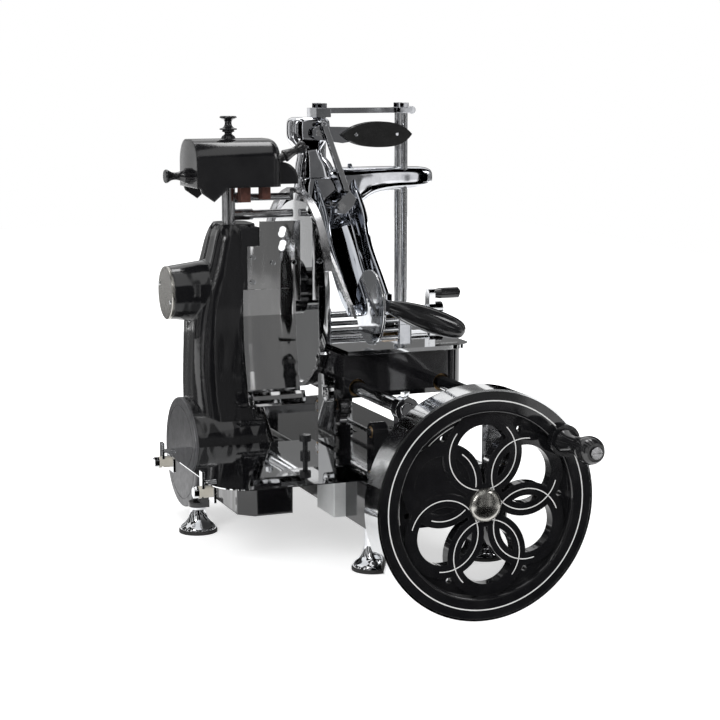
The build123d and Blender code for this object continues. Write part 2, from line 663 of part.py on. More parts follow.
def tray_clamp_tabs():
    """Light tabs that grip the left edge of the tray from above and below."""
    tabs = []
    top = TRAY_BOTTOM_Z + TRAY_SHEET
    for y in CLAMP_YS:
        upper = block(TRAY_LEFT_X - 8, TRAY_LEFT_X - 4, y - 7, y + 7, TRAY_BOTTOM_Z - 12, top + 16)
        upper += block(TRAY_LEFT_X - 8, TRAY_LEFT_X + 14, y - 7, y + 7, top, top + 3)
        lower = block(TRAY_LEFT_X + 8, TRAY_LEFT_X + 12, y - 13, y + 13, TRAY_BOTTOM_Z - 30, TRAY_BOTTOM_Z)
        tabs += [upper, lower]
    return Compound(children=tabs)


def tray_clamp_bolts():
    """Chrome hexagon bolts of the tray clamps."""
    bolts = []
    z = TRAY_BOTTOM_Z - 14
    for y in CLAMP_YS:
        head = aim_back_x(hexagon(15, 8), TRAY_LEFT_X - 12, y, z)
        bolts.append(head + bar_x(4, TRAY_LEFT_X - 13, TRAY_LEFT_X + 8, y, z))
    return Compound(children=bolts)


def tray_clamp_collars():
    """Cream plastic collars round the clamp bolts."""
    z = TRAY_BOTTOM_Z - 14
    return Compound(
        children=[ring_x(9, 4, TRAY_LEFT_X - 12, TRAY_LEFT_X + 8, y, z) - block(
            TRAY_LEFT_X - 8, TRAY_LEFT_X - 4, y - 7, y + 7, z - 12, z + 30
        ) for y in CLAMP_YS]
    )


def tray_knob():
    """Thumb knob on the tray: a polished stud with a black head."""
    x, y = TRAY_KNOB
    top = TRAY_BOTTOM_Z + TRAY_SHEET
    stud = bar_z(4, TRAY_BOTTOM_Z - 8, top + 34, x, y)
    stud += bar_z(8, top + 0.1, top + 8, x, y)
    stud += bar_z(9, top + 24, top + 34, x, y)
    return stud + bar_z(7, TRAY_BOTTOM_Z - 8, TRAY_BOTTOM_Z - 2, x, y)


def terminal_cover():
    """Small bare light grey cover on the left side of the bed."""
    cover = block(-33, BED_LEFT_X, 73, 148, FOOT_HEIGHT, DECK_Z)
    return fillet(cover.edges().filter_by(Axis.Z).group_by(Axis.X)[0], 1.5)


# ---------------------------------------------------------------- blade and guard
def blade():
    """Round blade with a bevelled edge and a shallow dished centre."""
    back = BLADE_X - BLADE_THICKNESS / 2
    disc = turned(
        [
            (SPINDLE_RADIUS, 0),
            (BLADE_RADIUS - 14, 0),
            (BLADE_RADIUS, BLADE_THICKNESS - 0.6),
            (BLADE_RADIUS, BLADE_THICKNESS),
            (BLADE_RADIUS - 20, BLADE_THICKNESS - 0.6),
            (BLADE_RADIUS - 60, BLADE_THICKNESS - 1.4),
            (SPINDLE_RADIUS, BLADE_THICKNESS - 1.4),
        ]
    )
    return aim_x(disc, back, BLADE_AXIS_Y, BLADE_AXIS_Z)


def blade_hub():
    """Black hub that carries the blade."""
    back = BLADE_X - BLADE_THICKNESS / 2
    hub = ring_x(BLADE_HUB_RADIUS, SPINDLE_RADIUS, -22, back, BLADE_AXIS_Y, BLADE_AXIS_Z)
    return hub + ring_x(46, SPINDLE_RADIUS, back - 8, back, BLADE_AXIS_Y, BLADE_AXIS_Z)


def blade_spindle():
    """Spindle of the blade."""
    shaft = bar_x(SPINDLE_RADIUS, HUB_CAP_FACE_X + 26, BLADE_X + 3, BLADE_AXIS_Y, BLADE_AXIS_Z)
    return shaft


def blade_guard():
    """Ring guard round the blade, open towards the carriage side at the front."""
    ring = ring_x(GUARD_OUTER_RADIUS, GUARD_INNER_RADIUS, 13, 25, BLADE_AXIS_Y, BLADE_AXIS_Z)
    reach = GUARD_OUTER_RADIUS + 40
    opening = [(BLADE_AXIS_Y, BLADE_AXIS_Z)]
    for angle in (165, 190, 215):
        turn = math.radians(angle)
        opening.append((BLADE_AXIS_Y + reach * math.cos(turn), BLADE_AXIS_Z + reach * math.sin(turn)))
    wedge = extrude(make_face(Polyline(*opening, close=True)), 20, both=True)
    ring -= stand_on_x(wedge, 19)
    outer_y = BLADE_AXIS_Y + GUARD_INNER_RADIUS
    arm = block(*GUARD_ARM_X, BLADE_AXIS_Y + 40, outer_y + 6, *GUARD_ARM_Z)
    run = math.sqrt(GUARD_INNER_RADIUS**2 - (BLADE_AXIS_Z - GUARD_ARM_Z[0]) ** 2)
    arm += block(GUARD_ARM_X[0], 13, BLADE_AXIS_Y + run - 6, outer_y + 6, *GUARD_ARM_Z)
    lug_top = BLADE_AXIS_Z + GUARD_OUTER_RADIUS
    arm += block(7, 13, BLADE_AXIS_Y - 9, BLADE_AXIS_Y + 9, 528, lug_top)
    return ring + arm


def guard_plate():
    """Polished plate behind the blade with two slots."""
    plate = block(-83, 8, PLATE_Y, PLATE_Y + SHEET, 366, 498)
    plate -= block(-90, -62, PLATE_Y - 1, PLATE_Y + SHEET + 1, 458, 499)
    for z in (452, 474):
        plate -= bar_y(6, PLATE_Y - 1, PLATE_Y + SHEET + 1, -24, z + 3)
        plate -= bar_y(6, PLATE_Y - 1, PLATE_Y + SHEET + 1, -22, z + 9)
    return plate


def plate_screws():
    """Round head screws that hold the guard plate and the deflector."""
    spots = ((-74, 400), (-74, 440), (-40, 430), (-4, 430))
    return Compound(children=[bar_y(4, PLATE_Y - 3, PLATE_Y, x, z) for x, z in spots])


def strip(points, thickness):
    """Closed outline of a sheet of even thickness that follows a line of points."""
    left, right = [], []
    for index, (u, v) in enumerate(points):
        before = points[max(index - 1, 0)]
        after = points[min(index + 1, len(points) - 1)]
        length = math.dist(before, after)
        normal_u = -(after[1] - before[1]) / length * thickness / 2
        normal_v = (after[0] - before[0]) / length * thickness / 2
        left.append((u + normal_u, v + normal_v))
        right.append((u - normal_u, v - normal_v))
    return make_face(Polyline(*left, *reversed(right), close=True))


def slice_deflector():
    """Mirror sheet that turns the slices down on to the tray, with a rolled lower edge."""
    line = [(PLATE_Y - 1, 388), (PLATE_Y - 1, 345), (330, 300), (321, 255), (313, 226)]
    for step in range(9):
        turn = math.radians(-10 - 28 * step)
        line.append((299 + 13 * math.cos(turn), 214 + 13 * math.sin(turn)))
    return stand_on_x(extrude(strip(line, SHEET), 45, both=True), -46.5)


# ---------------------------------------------------------------- flywheel and crank
def petal_places():
    """Angle and centre of each petal of the flower, seen from the front."""
    for index in range(PETAL_COUNT):
        angle = PETAL_FIRST_ANGLE + 360 * index / PETAL_COUNT
        turn = math.radians(angle)
        yield index, PETAL_CENTRE_RADIUS * math.cos(turn), PETAL_CENTRE_RADIUS * math.sin(turn)


def flywheel():
    """Spoked flywheel whose web is a flower of interlaced rings, one petal left solid.

    It is drawn on the XZ plane as the operator sees it, thickness running towards +Y.
    """
    front = Plane(origin=(FLYWHEEL_X, FLYWHEEL_FACE_Y, SHAFT_Z), x_dir=(1, 0, 0), z_dir=(0, 1, 0))
    rim_radius = FLYWHEEL_RADIUS - BAND_THICKNESS
    rim = Pos(0, 0, FLYWHEEL_WIDTH / 2) * Cylinder(rim_radius, FLYWHEEL_WIDTH)
    rim -= Pos(0, 0, FLYWHEEL_WIDTH / 2) * Cylinder(RIM_INNER_RADIUS, FLYWHEEL_WIDTH + 2)
    rim = fillet(rim.edges().group_by(Axis.Z)[0].sort_by(SortBy.RADIUS)[0], 4)
    web_middle = WEB_RECESS + WEB_THICKNESS / 2
    web = Pos(0, 0, web_middle) * Cylinder(RIM_INNER_RADIUS + 2, WEB_THICKNESS - 6)
    rings = None
    for index, x, z in petal_places():
        hole = Pos(x, -z, web_middle) * Cylinder(PETAL_HOLE_RADIUS, WEB_THICKNESS + 2)
        corner = math.radians(PETAL_FIRST_ANGLE + 30 + 360 * index / PETAL_COUNT)
        corner_x = CORNER_HOLE_CENTRE_RADIUS * math.cos(corner)
        corner_z = CORNER_HOLE_CENTRE_RADIUS * math.sin(corner)
        web -= Pos(corner_x, -corner_z, web_middle) * Cylinder(CORNER_HOLE_RADIUS, WEB_THICKNESS + 2)
        ring = Pos(x, -z, web_middle) * Cylinder(PETAL_HOLE_RADIUS + PETAL_RING_WIDTH, WEB_THICKNESS)
        ring -= hole
        if index != SOLID_PETAL:
            web -= hole
        rings = ring if rings is None else rings + ring
    wheel = rim + web + rings
    wheel += Pos(0, 0, WEB_RECESS + FLYWHEEL_HUB_LENGTH / 2 - 6) * Cylinder(FLYWHEEL_HUB_RADIUS, FLYWHEEL_HUB_LENGTH - 12)
    for index, x, z in petal_places():
        if index == SOLID_PETAL:
            wheel += Pos(x, -z, web_middle) * Cylinder(PETAL_HOLE_RADIUS, WEB_THICKNESS - 4)
    wheel -= Pos(0, 0, WEB_RECESS + 30) * Cylinder(SHAFT_RADIUS, 62)
    return front * wheel


def flywheel_band():
    """Polished band shrunk on the rim."""
    inner = FLYWHEEL_RADIUS - BAND_THICKNESS
    return ring_y(FLYWHEEL_RADIUS, inner, FLYWHEEL_FACE_Y, FLYWHEEL_FACE_Y + FLYWHEEL_WIDTH, FLYWHEEL_X, SHAFT_Z)


def flywheel_cap():
    """Domed polished cap over the flywheel hub."""
    dome = turned_smooth(
        [(0, HUB_CAP_HEIGHT), (0, 0)],
        [
            (HUB_CAP_RADIUS, 0),
            (HUB_CAP_RADIUS * 0.93, HUB_CAP_HEIGHT * 0.42),
            (HUB_CAP_RADIUS * 0.62, HUB_CAP_HEIGHT * 0.82),
            (1.0, HUB_CAP_HEIGHT),
        ],
    )
    return aim_front(dome, FLYWHEEL_X, FLYWHEEL_FACE_Y + WEB_RECESS, SHAFT_Z)


CRANK_X = FLYWHEEL_X + CRANK_RADIUS * math.cos(math.radians(CRANK_ANGLE))
CRANK_Z = SHAFT_Z + CRANK_RADIUS * math.sin(math.radians(CRANK_ANGLE))
BOSS_FRONT_Y = FLYWHEEL_FACE_Y - CRANK_BOSS_LENGTH


def crank_pin():
    """Pin on the rim that carries the crank grip, with its boss and its retaining head."""
    pin = bar_y(CRANK_PIN_RADIUS, BOSS_FRONT_Y - GRIP_LENGTH - 2, BOSS_FRONT_Y, CRANK_X, CRANK_Z)
    pin += bar_y(CRANK_BOSS_RADIUS, BOSS_FRONT_Y, FLYWHEEL_FACE_Y, CRANK_X, CRANK_Z)
    end = bar_y(9, BOSS_FRONT_Y - GRIP_LENGTH - 3.2, BOSS_FRONT_Y - GRIP_LENGTH - 0.2, CRANK_X, CRANK_Z)
    return pin + end - block(
        CRANK_X - 7,
        CRANK_X + 7,
        BOSS_FRONT_Y - GRIP_LENGTH - 4,
        BOSS_FRONT_Y - GRIP_LENGTH - 2.0,
        CRANK_Z - 0.8,
        CRANK_Z + 0.8,
    )


def crank_grip():
    """Turned black grip: a slim waist that swells to a ball near its free end."""
    start = 0.2
    grip = turned_smooth(
        [(GRIP_SCREW_RADIUS, GRIP_LENGTH), (0, GRIP_LENGTH), (0, start), (GRIP_BALL_RADIUS - 3, start)],
        [
            (GRIP_BALL_RADIUS - 3, 4),
            (GRIP_WAIST_RADIUS + 1.5, 16),
            (GRIP_WAIST_RADIUS, 32),
            (GRIP_WAIST_RADIUS + 3.0, 52),
            (GRIP_BALL_RADIUS, 72),
            (GRIP_BALL_RADIUS - 2, 84),
            (GRIP_SCREW_RADIUS + 1.5, GRIP_LENGTH - 2),
        ],
    )
    grip -= Pos(0, 0, GRIP_LENGTH / 2) * Cylinder(CRANK_PIN_RADIUS + SHAFT_PLAY, GRIP_LENGTH + 4)
    return aim_front(grip, CRANK_X, BOSS_FRONT_Y, CRANK_Z)


# ---------------------------------------------------------------- carriage
DECK_GAP = 0.05
FEED_NUT_RADIUS = 9.0
FEED_SADDLE_DEPTH = 0.8
FEED_NUT_X = (195.0, 215.0)


def carriage_casting():
    """Black carriage: two bored beams, end walls and a top plate, round at its right corners."""
    body = block(
        CARRIAGE_LEFT_X, CARRIAGE_RIGHT_X, CARRIAGE_FRONT_Y, CARRIAGE_REAR_Y, CARRIAGE_BOTTOM_Z, CARRIAGE_TOP_Z
    )
    right = body.edges().filter_by(Axis.Z).group_by(Axis.X)[-1]
    body = fillet(right, 34)
    low_front = body.edges().group_by(Axis.Z)[0]
    body = chamfer(low_front.filter_by(Axis.X), 10)
    body -= block(68, 178, CARRIAGE_FRONT_Y + 12, CARRIAGE_REAR_Y - 12, CARRIAGE_BOTTOM_Z - 1, CARRIAGE_TOP_Z - 10)
    for x in (ROD_LEFT_X, ROD_RIGHT_X):
        body -= bar_y(ROD_RADIUS + BUSH_WALL, CARRIAGE_FRONT_Y - 1, CARRIAGE_REAR_Y + 1, x, ROD_Z)
    lug_top = SCREW_Z - FEED_NUT_RADIUS + FEED_SADDLE_DEPTH
    body += block(*FEED_NUT_X, CLAMP_Y - 7, CLAMP_Y + 7, CARRIAGE_TOP_Z, lug_top)
    return body - bar_x(FEED_NUT_RADIUS, FEED_NUT_X[0] - 1, FEED_NUT_X[1] + 1, CLAMP_Y, SCREW_Z)


def carriage_bushes():
    """Four bronze bushes in the ends of both bores, and the feed nut in its saddle."""
    bushes = []
    outer = ROD_RADIUS + BUSH_WALL
    for x in (ROD_LEFT_X, ROD_RIGHT_X):
        for y in (CARRIAGE_FRONT_Y + 12, CARRIAGE_REAR_Y - 12 - BUSH_LENGTH):
            bushes.append(ring_y(outer, ROD_RADIUS + SHAFT_PLAY, y, y + BUSH_LENGTH, x, ROD_Z))
    bushes.append(ring_x(FEED_NUT_RADIUS, SCREW_RADIUS + SHAFT_PLAY, *FEED_NUT_X, CLAMP_Y, SCREW_Z))
    return Compound(children=bushes)


def drive_fork():
    """Slotted fork that hangs from the carriage over the upper run of the chain."""
    fork = block(CHAIN_X - 8, CHAIN_X + 8, 300, 340, 209, CARRIAGE_TOP_Z - 10)
    return fork - block(CHAIN_X - 9, CHAIN_X + 9, 315, 325, 208, 250)


# ---------------------------------------------------------------- meat table and feed
TABLE_LEFT_X = 27.0
RUNNER_TOP_Z = TABLE_TOP_Z - TABLE_THICKNESS
GUIDE_ROD_Z = 312.0
GUIDE_ROD_RADIUS = 4.0
FEED_CRANK_X = 286.0


def meat_table():
    """Mirror plate that carries the meat, rounded at its right front corner."""
    plate = block(TABLE_LEFT_X, TABLE_RIGHT_X, TABLE_FRONT_Y, TABLE_REAR_Y, RUNNER_TOP_Z, TABLE_TOP_Z)
    front_right = plate.edges().filter_by(Axis.Z).group_by(Axis.X)[-1].sort_by(Axis.Y)[0]
    return fillet(front_right, 40)


def table_runners():
    """Two cross runners under the table that slide on the carriage top."""
    bottom = CARRIAGE_TOP_Z + DECK_GAP
    return Compound(children=[block(40, 200, y, y + 14, bottom, RUNNER_TOP_Z) for y in (206, 396)])


def foot_blocks():
    """Two chrome blocks on the rear of the table that carry columns, guide rods and screw."""
    blocks = []
    for x in (LEFT_COLUMN_X, RIGHT_COLUMN_X):
        base = block(
            x - FOOT_BLOCK_X / 2,
            x + FOOT_BLOCK_X / 2,
            CLAMP_Y - FOOT_BLOCK_Y / 2,
            CLAMP_Y + FOOT_BLOCK_Y / 2,
            TABLE_TOP_Z,
            TABLE_TOP_Z + FOOT_BLOCK_HEIGHT,
        )
        base = fillet(base.edges().filter_by(Axis.Z), 3)
        for y in column_ys():
            base -= bar_z(COLUMN_RADIUS, TABLE_TOP_Z - 1, TABLE_TOP_Z + FOOT_BLOCK_HEIGHT + 1, x, y)
        base -= bar_x(SCREW_RADIUS + SHAFT_PLAY, x - 20, x + 20, CLAMP_Y, SCREW_Z)
        blocks.append(base)
    return Compound(children=blocks)


def column_ys():
    """Places of the two columns of a pair along Y."""
    return (CLAMP_Y - COLUMN_GAP_Y / 2, CLAMP_Y + COLUMN_GAP_Y / 2)


def press_columns():
    """Four polished columns in two pairs."""
    columns = []
    for x in (LEFT_COLUMN_X, RIGHT_COLUMN_X):
        for y in column_ys():
            columns.append(bar_z(COLUMN_RADIUS, TABLE_TOP_Z, COLUMN_TIP_Z, x, y))
    return Compound(children=columns)


def guide_rods():
    """Two polished rods along X between the foot blocks, in front of the screw."""
    x0 = LEFT_COLUMN_X + FOOT_BLOCK_X / 2
    x1 = RIGHT_COLUMN_X - FOOT_BLOCK_X / 2
    return Compound(children=[bar_x(4.5, x0, x1, CLAMP_Y - 18, z) for z in (312, 326)])


def feed_screw():
    """Cross feed screw with its crank arm and the pin for the grip."""
    right_face = RIGHT_COLUMN_X + FOOT_BLOCK_X / 2
    screw = bar_x(SCREW_RADIUS, LEFT_COLUMN_X - 20, FEED_CRANK_X + 8, CLAMP_Y, SCREW_Z)
    screw += bar_x(8, right_face + 0.1, FEED_CRANK_X, CLAMP_Y, SCREW_Z)
    screw += bar_x(8, LEFT_COLUMN_X - 22, LEFT_COLUMN_X - FOOT_BLOCK_X / 2 - 0.1, CLAMP_Y, SCREW_Z)
    hub = bar_x(13, FEED_CRANK_X - 6, FEED_CRANK_X + 20, CLAMP_Y, SCREW_Z)
    top = SCREW_Z + FEED_CRANK_THROW
    arm = block(FEED_CRANK_X - 6, FEED_CRANK_X + 6, CLAMP_Y - 9, CLAMP_Y + 9, SCREW_Z, top)
    arm += bar_x(9, FEED_CRANK_X - 6, FEED_CRANK_X + 6, CLAMP_Y, top)
    pin = bar_x(3.5, FEED_CRANK_X, FEED_CRANK_X + 50, CLAMP_Y, top)
    return screw + hub + arm + pin


def feed_grip():
    """Loose black grip of the feed crank."""
    x0 = FEED_CRANK_X + 6.2
    top = SCREW_Z + FEED_CRANK_THROW
    grip = turned([(3.55, 0), (7.5, 0), (9.5, 12), (9.5, 46), (6, 49), (3.55, 49)])
    return aim_x(grip, x0, CLAMP_Y, top)


# ---------------------------------------------------------------- press
BEAM_FRONT_Y = 412.0
BEAM_REAR_Y = 462.0
BEAM_TOP_Z = 577.0
BEAM_RIGHT_X = 283.0
HEAD_X = (25.0, 94.0)
HEAD_Z = (BEAM_TOP_Z + 40, BEAM_TOP_Z + 85)
BRIDGE_Z = (BEAM_TOP_Z + 91, BEAM_TOP_Z + 100)
ARM_X = (62.0, 136.0)
ARM_FRONT_LINE = ((556, 411.8), (530, 385), (502, 360), (452, 335), (403, 285), (372, 256), (354, 250))
ARM_REAR_LINE = ((344, 262), (362, 300), (412, 345), (462, 380), (500, 411.8))
DISC_CENTRE = (80.0, 205.0, 367.0)
DISC_RADIUS = 60.0
HANDLE_ROOT = (106.0, 197.0, 369.0)
HANDLE_TIP = (236.0, 186.0, 322.0)
CATCH_PIVOT = (98.0, BEAM_TOP_Z - 63)
LEVER_PIVOT = (66.0, BEAM_TOP_Z + 59)
LEVER_Y = (400.0, 408.0)
LINK_Y = (390.0, 399.6)
CATCH_Y = (380.0, 389.6)
LINK_TOP = (LEVER_PIVOT[0] + 6, LEVER_PIVOT[1] + 16)
LINK_FOOT = (CATCH_PIVOT[0] + 20, CATCH_PIVOT[1] + 11)
GRIP_LEFT_X = 102.0
GRIP_RIGHT_X = 234.0
GRIP_MIDDLE_Z = LEVER_PIVOT[1] - 3


def press_beam():
    """Bright cast beam that slides on the four columns, with its neck and lever head."""
    side = [
        (36, BEAM_TOP_Z - 63),
        (58, BEAM_TOP_Z),
        (BEAM_RIGHT_X - 8, BEAM_TOP_Z - 3),
        (BEAM_RIGHT_X, BEAM_TOP_Z - 12),
        (BEAM_RIGHT_X - 2, BEAM_TOP_Z - 31),
        (BEAM_RIGHT_X - 14, BEAM_TOP_Z - 39),
        (174, BEAM_TOP_Z - 43),
        (146, BEAM_TOP_Z - 63),
        (124, BEAM_TOP_Z - 77),
    ]
    beam = facing_front(BEAM_REAR_Y) * extrude(make_face(Polyline(*side, close=True)), BEAM_REAR_Y - BEAM_FRONT_Y)
    neck = loft(
        [
            Pos(70, CLAMP_Y, BEAM_TOP_Z - 17) * RectangleRounded(64, 46, 14),
            Pos(66, CLAMP_Y, BEAM_TOP_Z + 23) * RectangleRounded(42, 44, 12),
            Pos(62, CLAMP_Y, HEAD_Z[0]) * RectangleRounded(52, 46, 12),
        ]
    )
    head = block(*HEAD_X, BEAM_FRONT_Y, BEAM_REAR_Y - 2, *HEAD_Z)
    head = fillet(head.edges().filter_by(Axis.Y), 6)
    beam = beam + neck + head
    for x in (LEFT_COLUMN_X, RIGHT_COLUMN_X):
        for y in column_ys():
            beam -= bar_z(COLUMN_RADIUS + SHAFT_PLAY, BEAM_TOP_Z - 97, HEAD_Z[1] + 38, x, y)
    beam -= bar_y(5, BEAM_FRONT_Y - 1, BEAM_FRONT_Y + 8, *LEVER_PIVOT)
    return beam - bar_y(4, BEAM_FRONT_Y - 1, BEAM_FRONT_Y + 8, *CATCH_PIVOT)


def top_bridge():
    """Flat bright bar over the columns that ties the right pair to the head."""
    low, high = BRIDGE_Z
    bar = block(LEFT_COLUMN_X, 246, CLAMP_Y - 8, CLAMP_Y + 8, low, high)
    bar += bar_y(6.5, CLAMP_Y - 9, CLAMP_Y + 9, 246, (low + high) / 2)
    bar += block(66, 92, CLAMP_Y - 23, CLAMP_Y + 23, HEAD_Z[1], high)
    bar += block(RIGHT_COLUMN_X - 11, RIGHT_COLUMN_X + 11, CLAMP_Y - 23, CLAMP_Y + 23, low, high)
    for x in (LEFT_COLUMN_X, RIGHT_COLUMN_X):
        for y in column_ys():
            bar -= bar_z(COLUMN_RADIUS + SHAFT_PLAY, HEAD_Z[1] - 1, high + 1, x, y)
            bar += Pos(x, y, high) * hexagon(14, 8)
    return bar


def arm_side(x0, x1):
    """Curved cheek of the arm between two places along X."""
    outline = [(y, z) for z, y in (*ARM_FRONT_LINE, *ARM_REAR_LINE)]
    return stand_on_x(extrude(make_face(Polyline(*outline, close=True)), x1 - x0), x0)


def press_arm():
    """Bright channel shaped arm bolted to the beam, with the lug for disc and handle."""
    x0, x1 = ARM_X
    rear = [(y, z) for z, y in ARM_REAR_LINE]
    raised = [(y - 5, z + 5) for y, z in reversed(rear[1:-1])]
    web_outline = [*rear, (rear[-1][0], rear[-1][1] + 7), *raised, (rear[0][0] - 6, rear[0][1] + 5)]
    web = stand_on_x(extrude(make_face(Polyline(*web_outline, close=True)), x1 - x0), x0)
    arm = arm_side(x0, x0 + 5) + arm_side(x1 - 8, x1) + web
    x, y, z = HANDLE_ROOT
    arm += block(DISC_CENTRE[0] + 2, x - 6, y - 12, 262, z - 12, z + 12)
    arm += block(x - 6, x1, 250, 262, z - 12, z + 12)
    arm += handle_plane() * Pos(0, 0, -8) * Cylinder(6, 16)
    return arm - bar_x(DISC_RADIUS + 1, DISC_CENTRE[0] - 3, DISC_CENTRE[0] + 2, *DISC_CENTRE[1:])


def toothed_plate():
    """Flat bar with small teeth along its lower edge, on the left of the arm."""
    x1 = ARM_X[0]
    top = ((411.5, 504.0), (236.0, 368.0))
    low = ((218.0, 348.0), (411.5, 486.0))
    bar = make_face(Polyline(*top, *low, close=True))
    (y0, z0), (y1, z1) = low
    length = math.hypot(y1 - y0, z1 - z0)
    uy, uz = (y1 - y0) / length, (z1 - z0) / length
    plate = extrude(bar, 5)
    for index in range(23):
        run = 8 + 9.5 * index
        root = (y0 + run * uy, z0 + run * uz)
        tip = (root[0] + 4.5 * uy + 5 * uz, root[1] + 4.5 * uz - 5 * uy)
        far = (root[0] + 7.5 * uy, root[1] + 7.5 * uz)
        near = (root[0] - 1 * uz, root[1] + 1 * uy)
        plate += extrude(make_face(Polyline(near, root, tip, far, close=True)), 5)
    return stand_on_x(plate, x1 - 5)


def guard_disc():
    """Round mirror hand guard on the lug of the arm."""
    x, y, z = DISC_CENTRE
    disc = bar_x(DISC_RADIUS, x - 2, x + 2, y, z)
    return fillet(disc.edges(), 1)


def handle_plane():
    """Plane at the root of the handle, normal along the handle."""
    reach = tuple(HANDLE_TIP[i] - HANDLE_ROOT[i] for i in range(3))
    return Plane(origin=HANDLE_ROOT, z_dir=reach)


def press_handle():
    """Black tear drop handle that points to the right of the disc."""
    length = math.dist(HANDLE_TIP, HANDLE_ROOT)
    body = turned_smooth(
        [(0, length), (0, 0), (9, 0)],
        [(9, 1), (15, 24), (20, length * 0.5), (18, length * 0.8), (8, length * 0.985), (0.5, length)],
    )
    return handle_plane() * body


# ---------------------------------------------------------------- hand lever, link rod and catch
def lever_pin():
    """Pivot pin of the hand lever in the head of the beam."""
    x, z = LEVER_PIVOT
    return bar_y(5, LEVER_Y[0], BEAM_FRONT_Y + 8, x, z)


def catch_pin():
    """Pivot pin of the catch in the front of the beam."""
    x, z = CATCH_PIVOT
    pin = bar_y(4, CATCH_Y[0] - 3, BEAM_FRONT_Y + 8, x, z)
    return pin + bar_y(7, CATCH_Y[0] - 3, CATCH_Y[0] - 0.1, x, z)


def leaf(half_length, half_height):
    """Leaf shaped face about the origin, long along local X."""
    left, right = (-half_length, 0), (half_length, 0)
    upper = [(-0.55, 0.72), (0.05, 1.0), (0.7, 0.66)]
    lower = [(0.75, -0.66), (0.1, -1.0), (-0.5, -0.8)]
    top = Spline(left, *[(half_length * u, half_height * v) for u, v in upper], right)
    low = Spline(right, *[(half_length * u, half_height * v) for u, v in lower], left)
    return make_face(Wire([top, low]))


def facing_front(y):
    """Plane seen by the operator: local X along X, local Y along Z, normal towards -Y."""
    return Plane(origin=(0, y, 0), x_dir=(1, 0, 0), z_dir=(0, -1, 0))


def grip_centre():
    """Middle of the leaf shaped grip on the XZ plane."""
    return ((GRIP_LEFT_X + GRIP_RIGHT_X) / 2, GRIP_MIDDLE_Z)


def hand_lever():
    """Bright lever bar from its pivot to the tang inside the leaf shaped grip."""
    half = (GRIP_RIGHT_X - GRIP_LEFT_X) / 2
    tang = Pos(*grip_centre()) * leaf(half, 20)
    px, pz = LEVER_PIVOT
    outline = ((0, -11), (42, -17), (64, -14), (64, 9), (42, 10), (0, 11))
    bar = Polyline(*[(px + dx, pz + dz) for dx, dz in outline], close=True)
    thick = LEVER_Y[1] - LEVER_Y[0]
    shape = facing_front(LEVER_Y[1]) * extrude(tang, thick)
    shape += facing_front(LEVER_Y[1]) * extrude(make_face(bar), thick)
    shape += bar_y(12, *LEVER_Y, px, pz)
    lx, lz = LINK_TOP
    shape += bar_y(6.5, *LEVER_Y, lx, lz)
    shape += bar_y(3.5, LINK_Y[0], LEVER_Y[0], lx, lz)
    return shape - bar_y(5 + SHAFT_PLAY, LEVER_Y[0] - 1, LEVER_Y[1] + 1, px, pz)


def lever_grips():
    """Two black leaf shaped grip scales on the lever."""
    half = (GRIP_RIGHT_X - GRIP_LEFT_X) / 2 - 2
    scale = extrude(Pos(*grip_centre()) * leaf(half, 21.5), 6)
    front = facing_front(LEVER_Y[0]) * scale
    scale = extrude(Pos(*grip_centre()) * leaf(half, 21.5), 3.5)
    return Compound(children=[front, facing_front(LEVER_Y[1] + 3.5) * scale])


def grip_rivets():
    """Rivet heads on the front grip scale."""
    rivets = []
    for x in (GRIP_LEFT_X + 28, GRIP_RIGHT_X - 30):
        rivets.append(bar_y(2.6, LEVER_Y[0] - 6.8, LEVER_Y[0] - 6, x, GRIP_MIDDLE_Z))
    return Compound(children=rivets)


def link_rod():
    """Square link rod from the hand lever down to the catch."""
    x0, z0 = LINK_TOP
    x1, z1 = LINK_FOOT
    y0, y1 = LINK_Y
    length = math.hypot(x1 - x0, z1 - z0)
    ux, uz = (x1 - x0) / length, (z1 - z0) / length
    side = 4.5
    corners = [
        (x0 - side * uz, z0 + side * ux),
        (x1 - side * uz, z1 + side * ux),
        (x1 + side * uz, z1 - side * ux),
        (x0 + side * uz, z0 - side * ux),
    ]
    rod = facing_front(y1) * extrude(make_face(Polyline(*corners, close=True)), y1 - y0)
    rod += bar_y(6.5, y0, y1, x0, z0) + bar_y(6.5, y0, y1, x1, z1)
    rod -= bar_y(3.5 + SHAFT_PLAY, y0 - 1, y1 + 1, x0, z0)
    return rod - bar_y(3.5 + SHAFT_PLAY, y0 - 1, y1 + 1, x1, z1)


def catch_plate():
    """Pointed bright catch on the beam, moved by the link rod."""
    y0, y1 = CATCH_Y
    px, pz = CATCH_PIVOT
    offsets = ((-9, -10), (-6, 8), (14, 26), (27, 14), (22, 2), (8, -12))
    outline = [(px + dx, pz + dz) for dx, dz in offsets]
    plate = facing_front(y1) * extrude(make_face(Polyline(*outline, close=True)), y1 - y0)
    lx, lz = LINK_FOOT
    plate += bar_y(3.5, y1, LINK_Y[1], lx, lz)
    return plate - bar_y(4 + SHAFT_PLAY, y0 - 1, y1 + 1, px, pz)


# ---------------------------------------------------------------- sharpener
COVER_X = (-165.0, -20.0)
COVER_BOTTOM_Z = 553.0
COVER_TOP_Z = 630.0


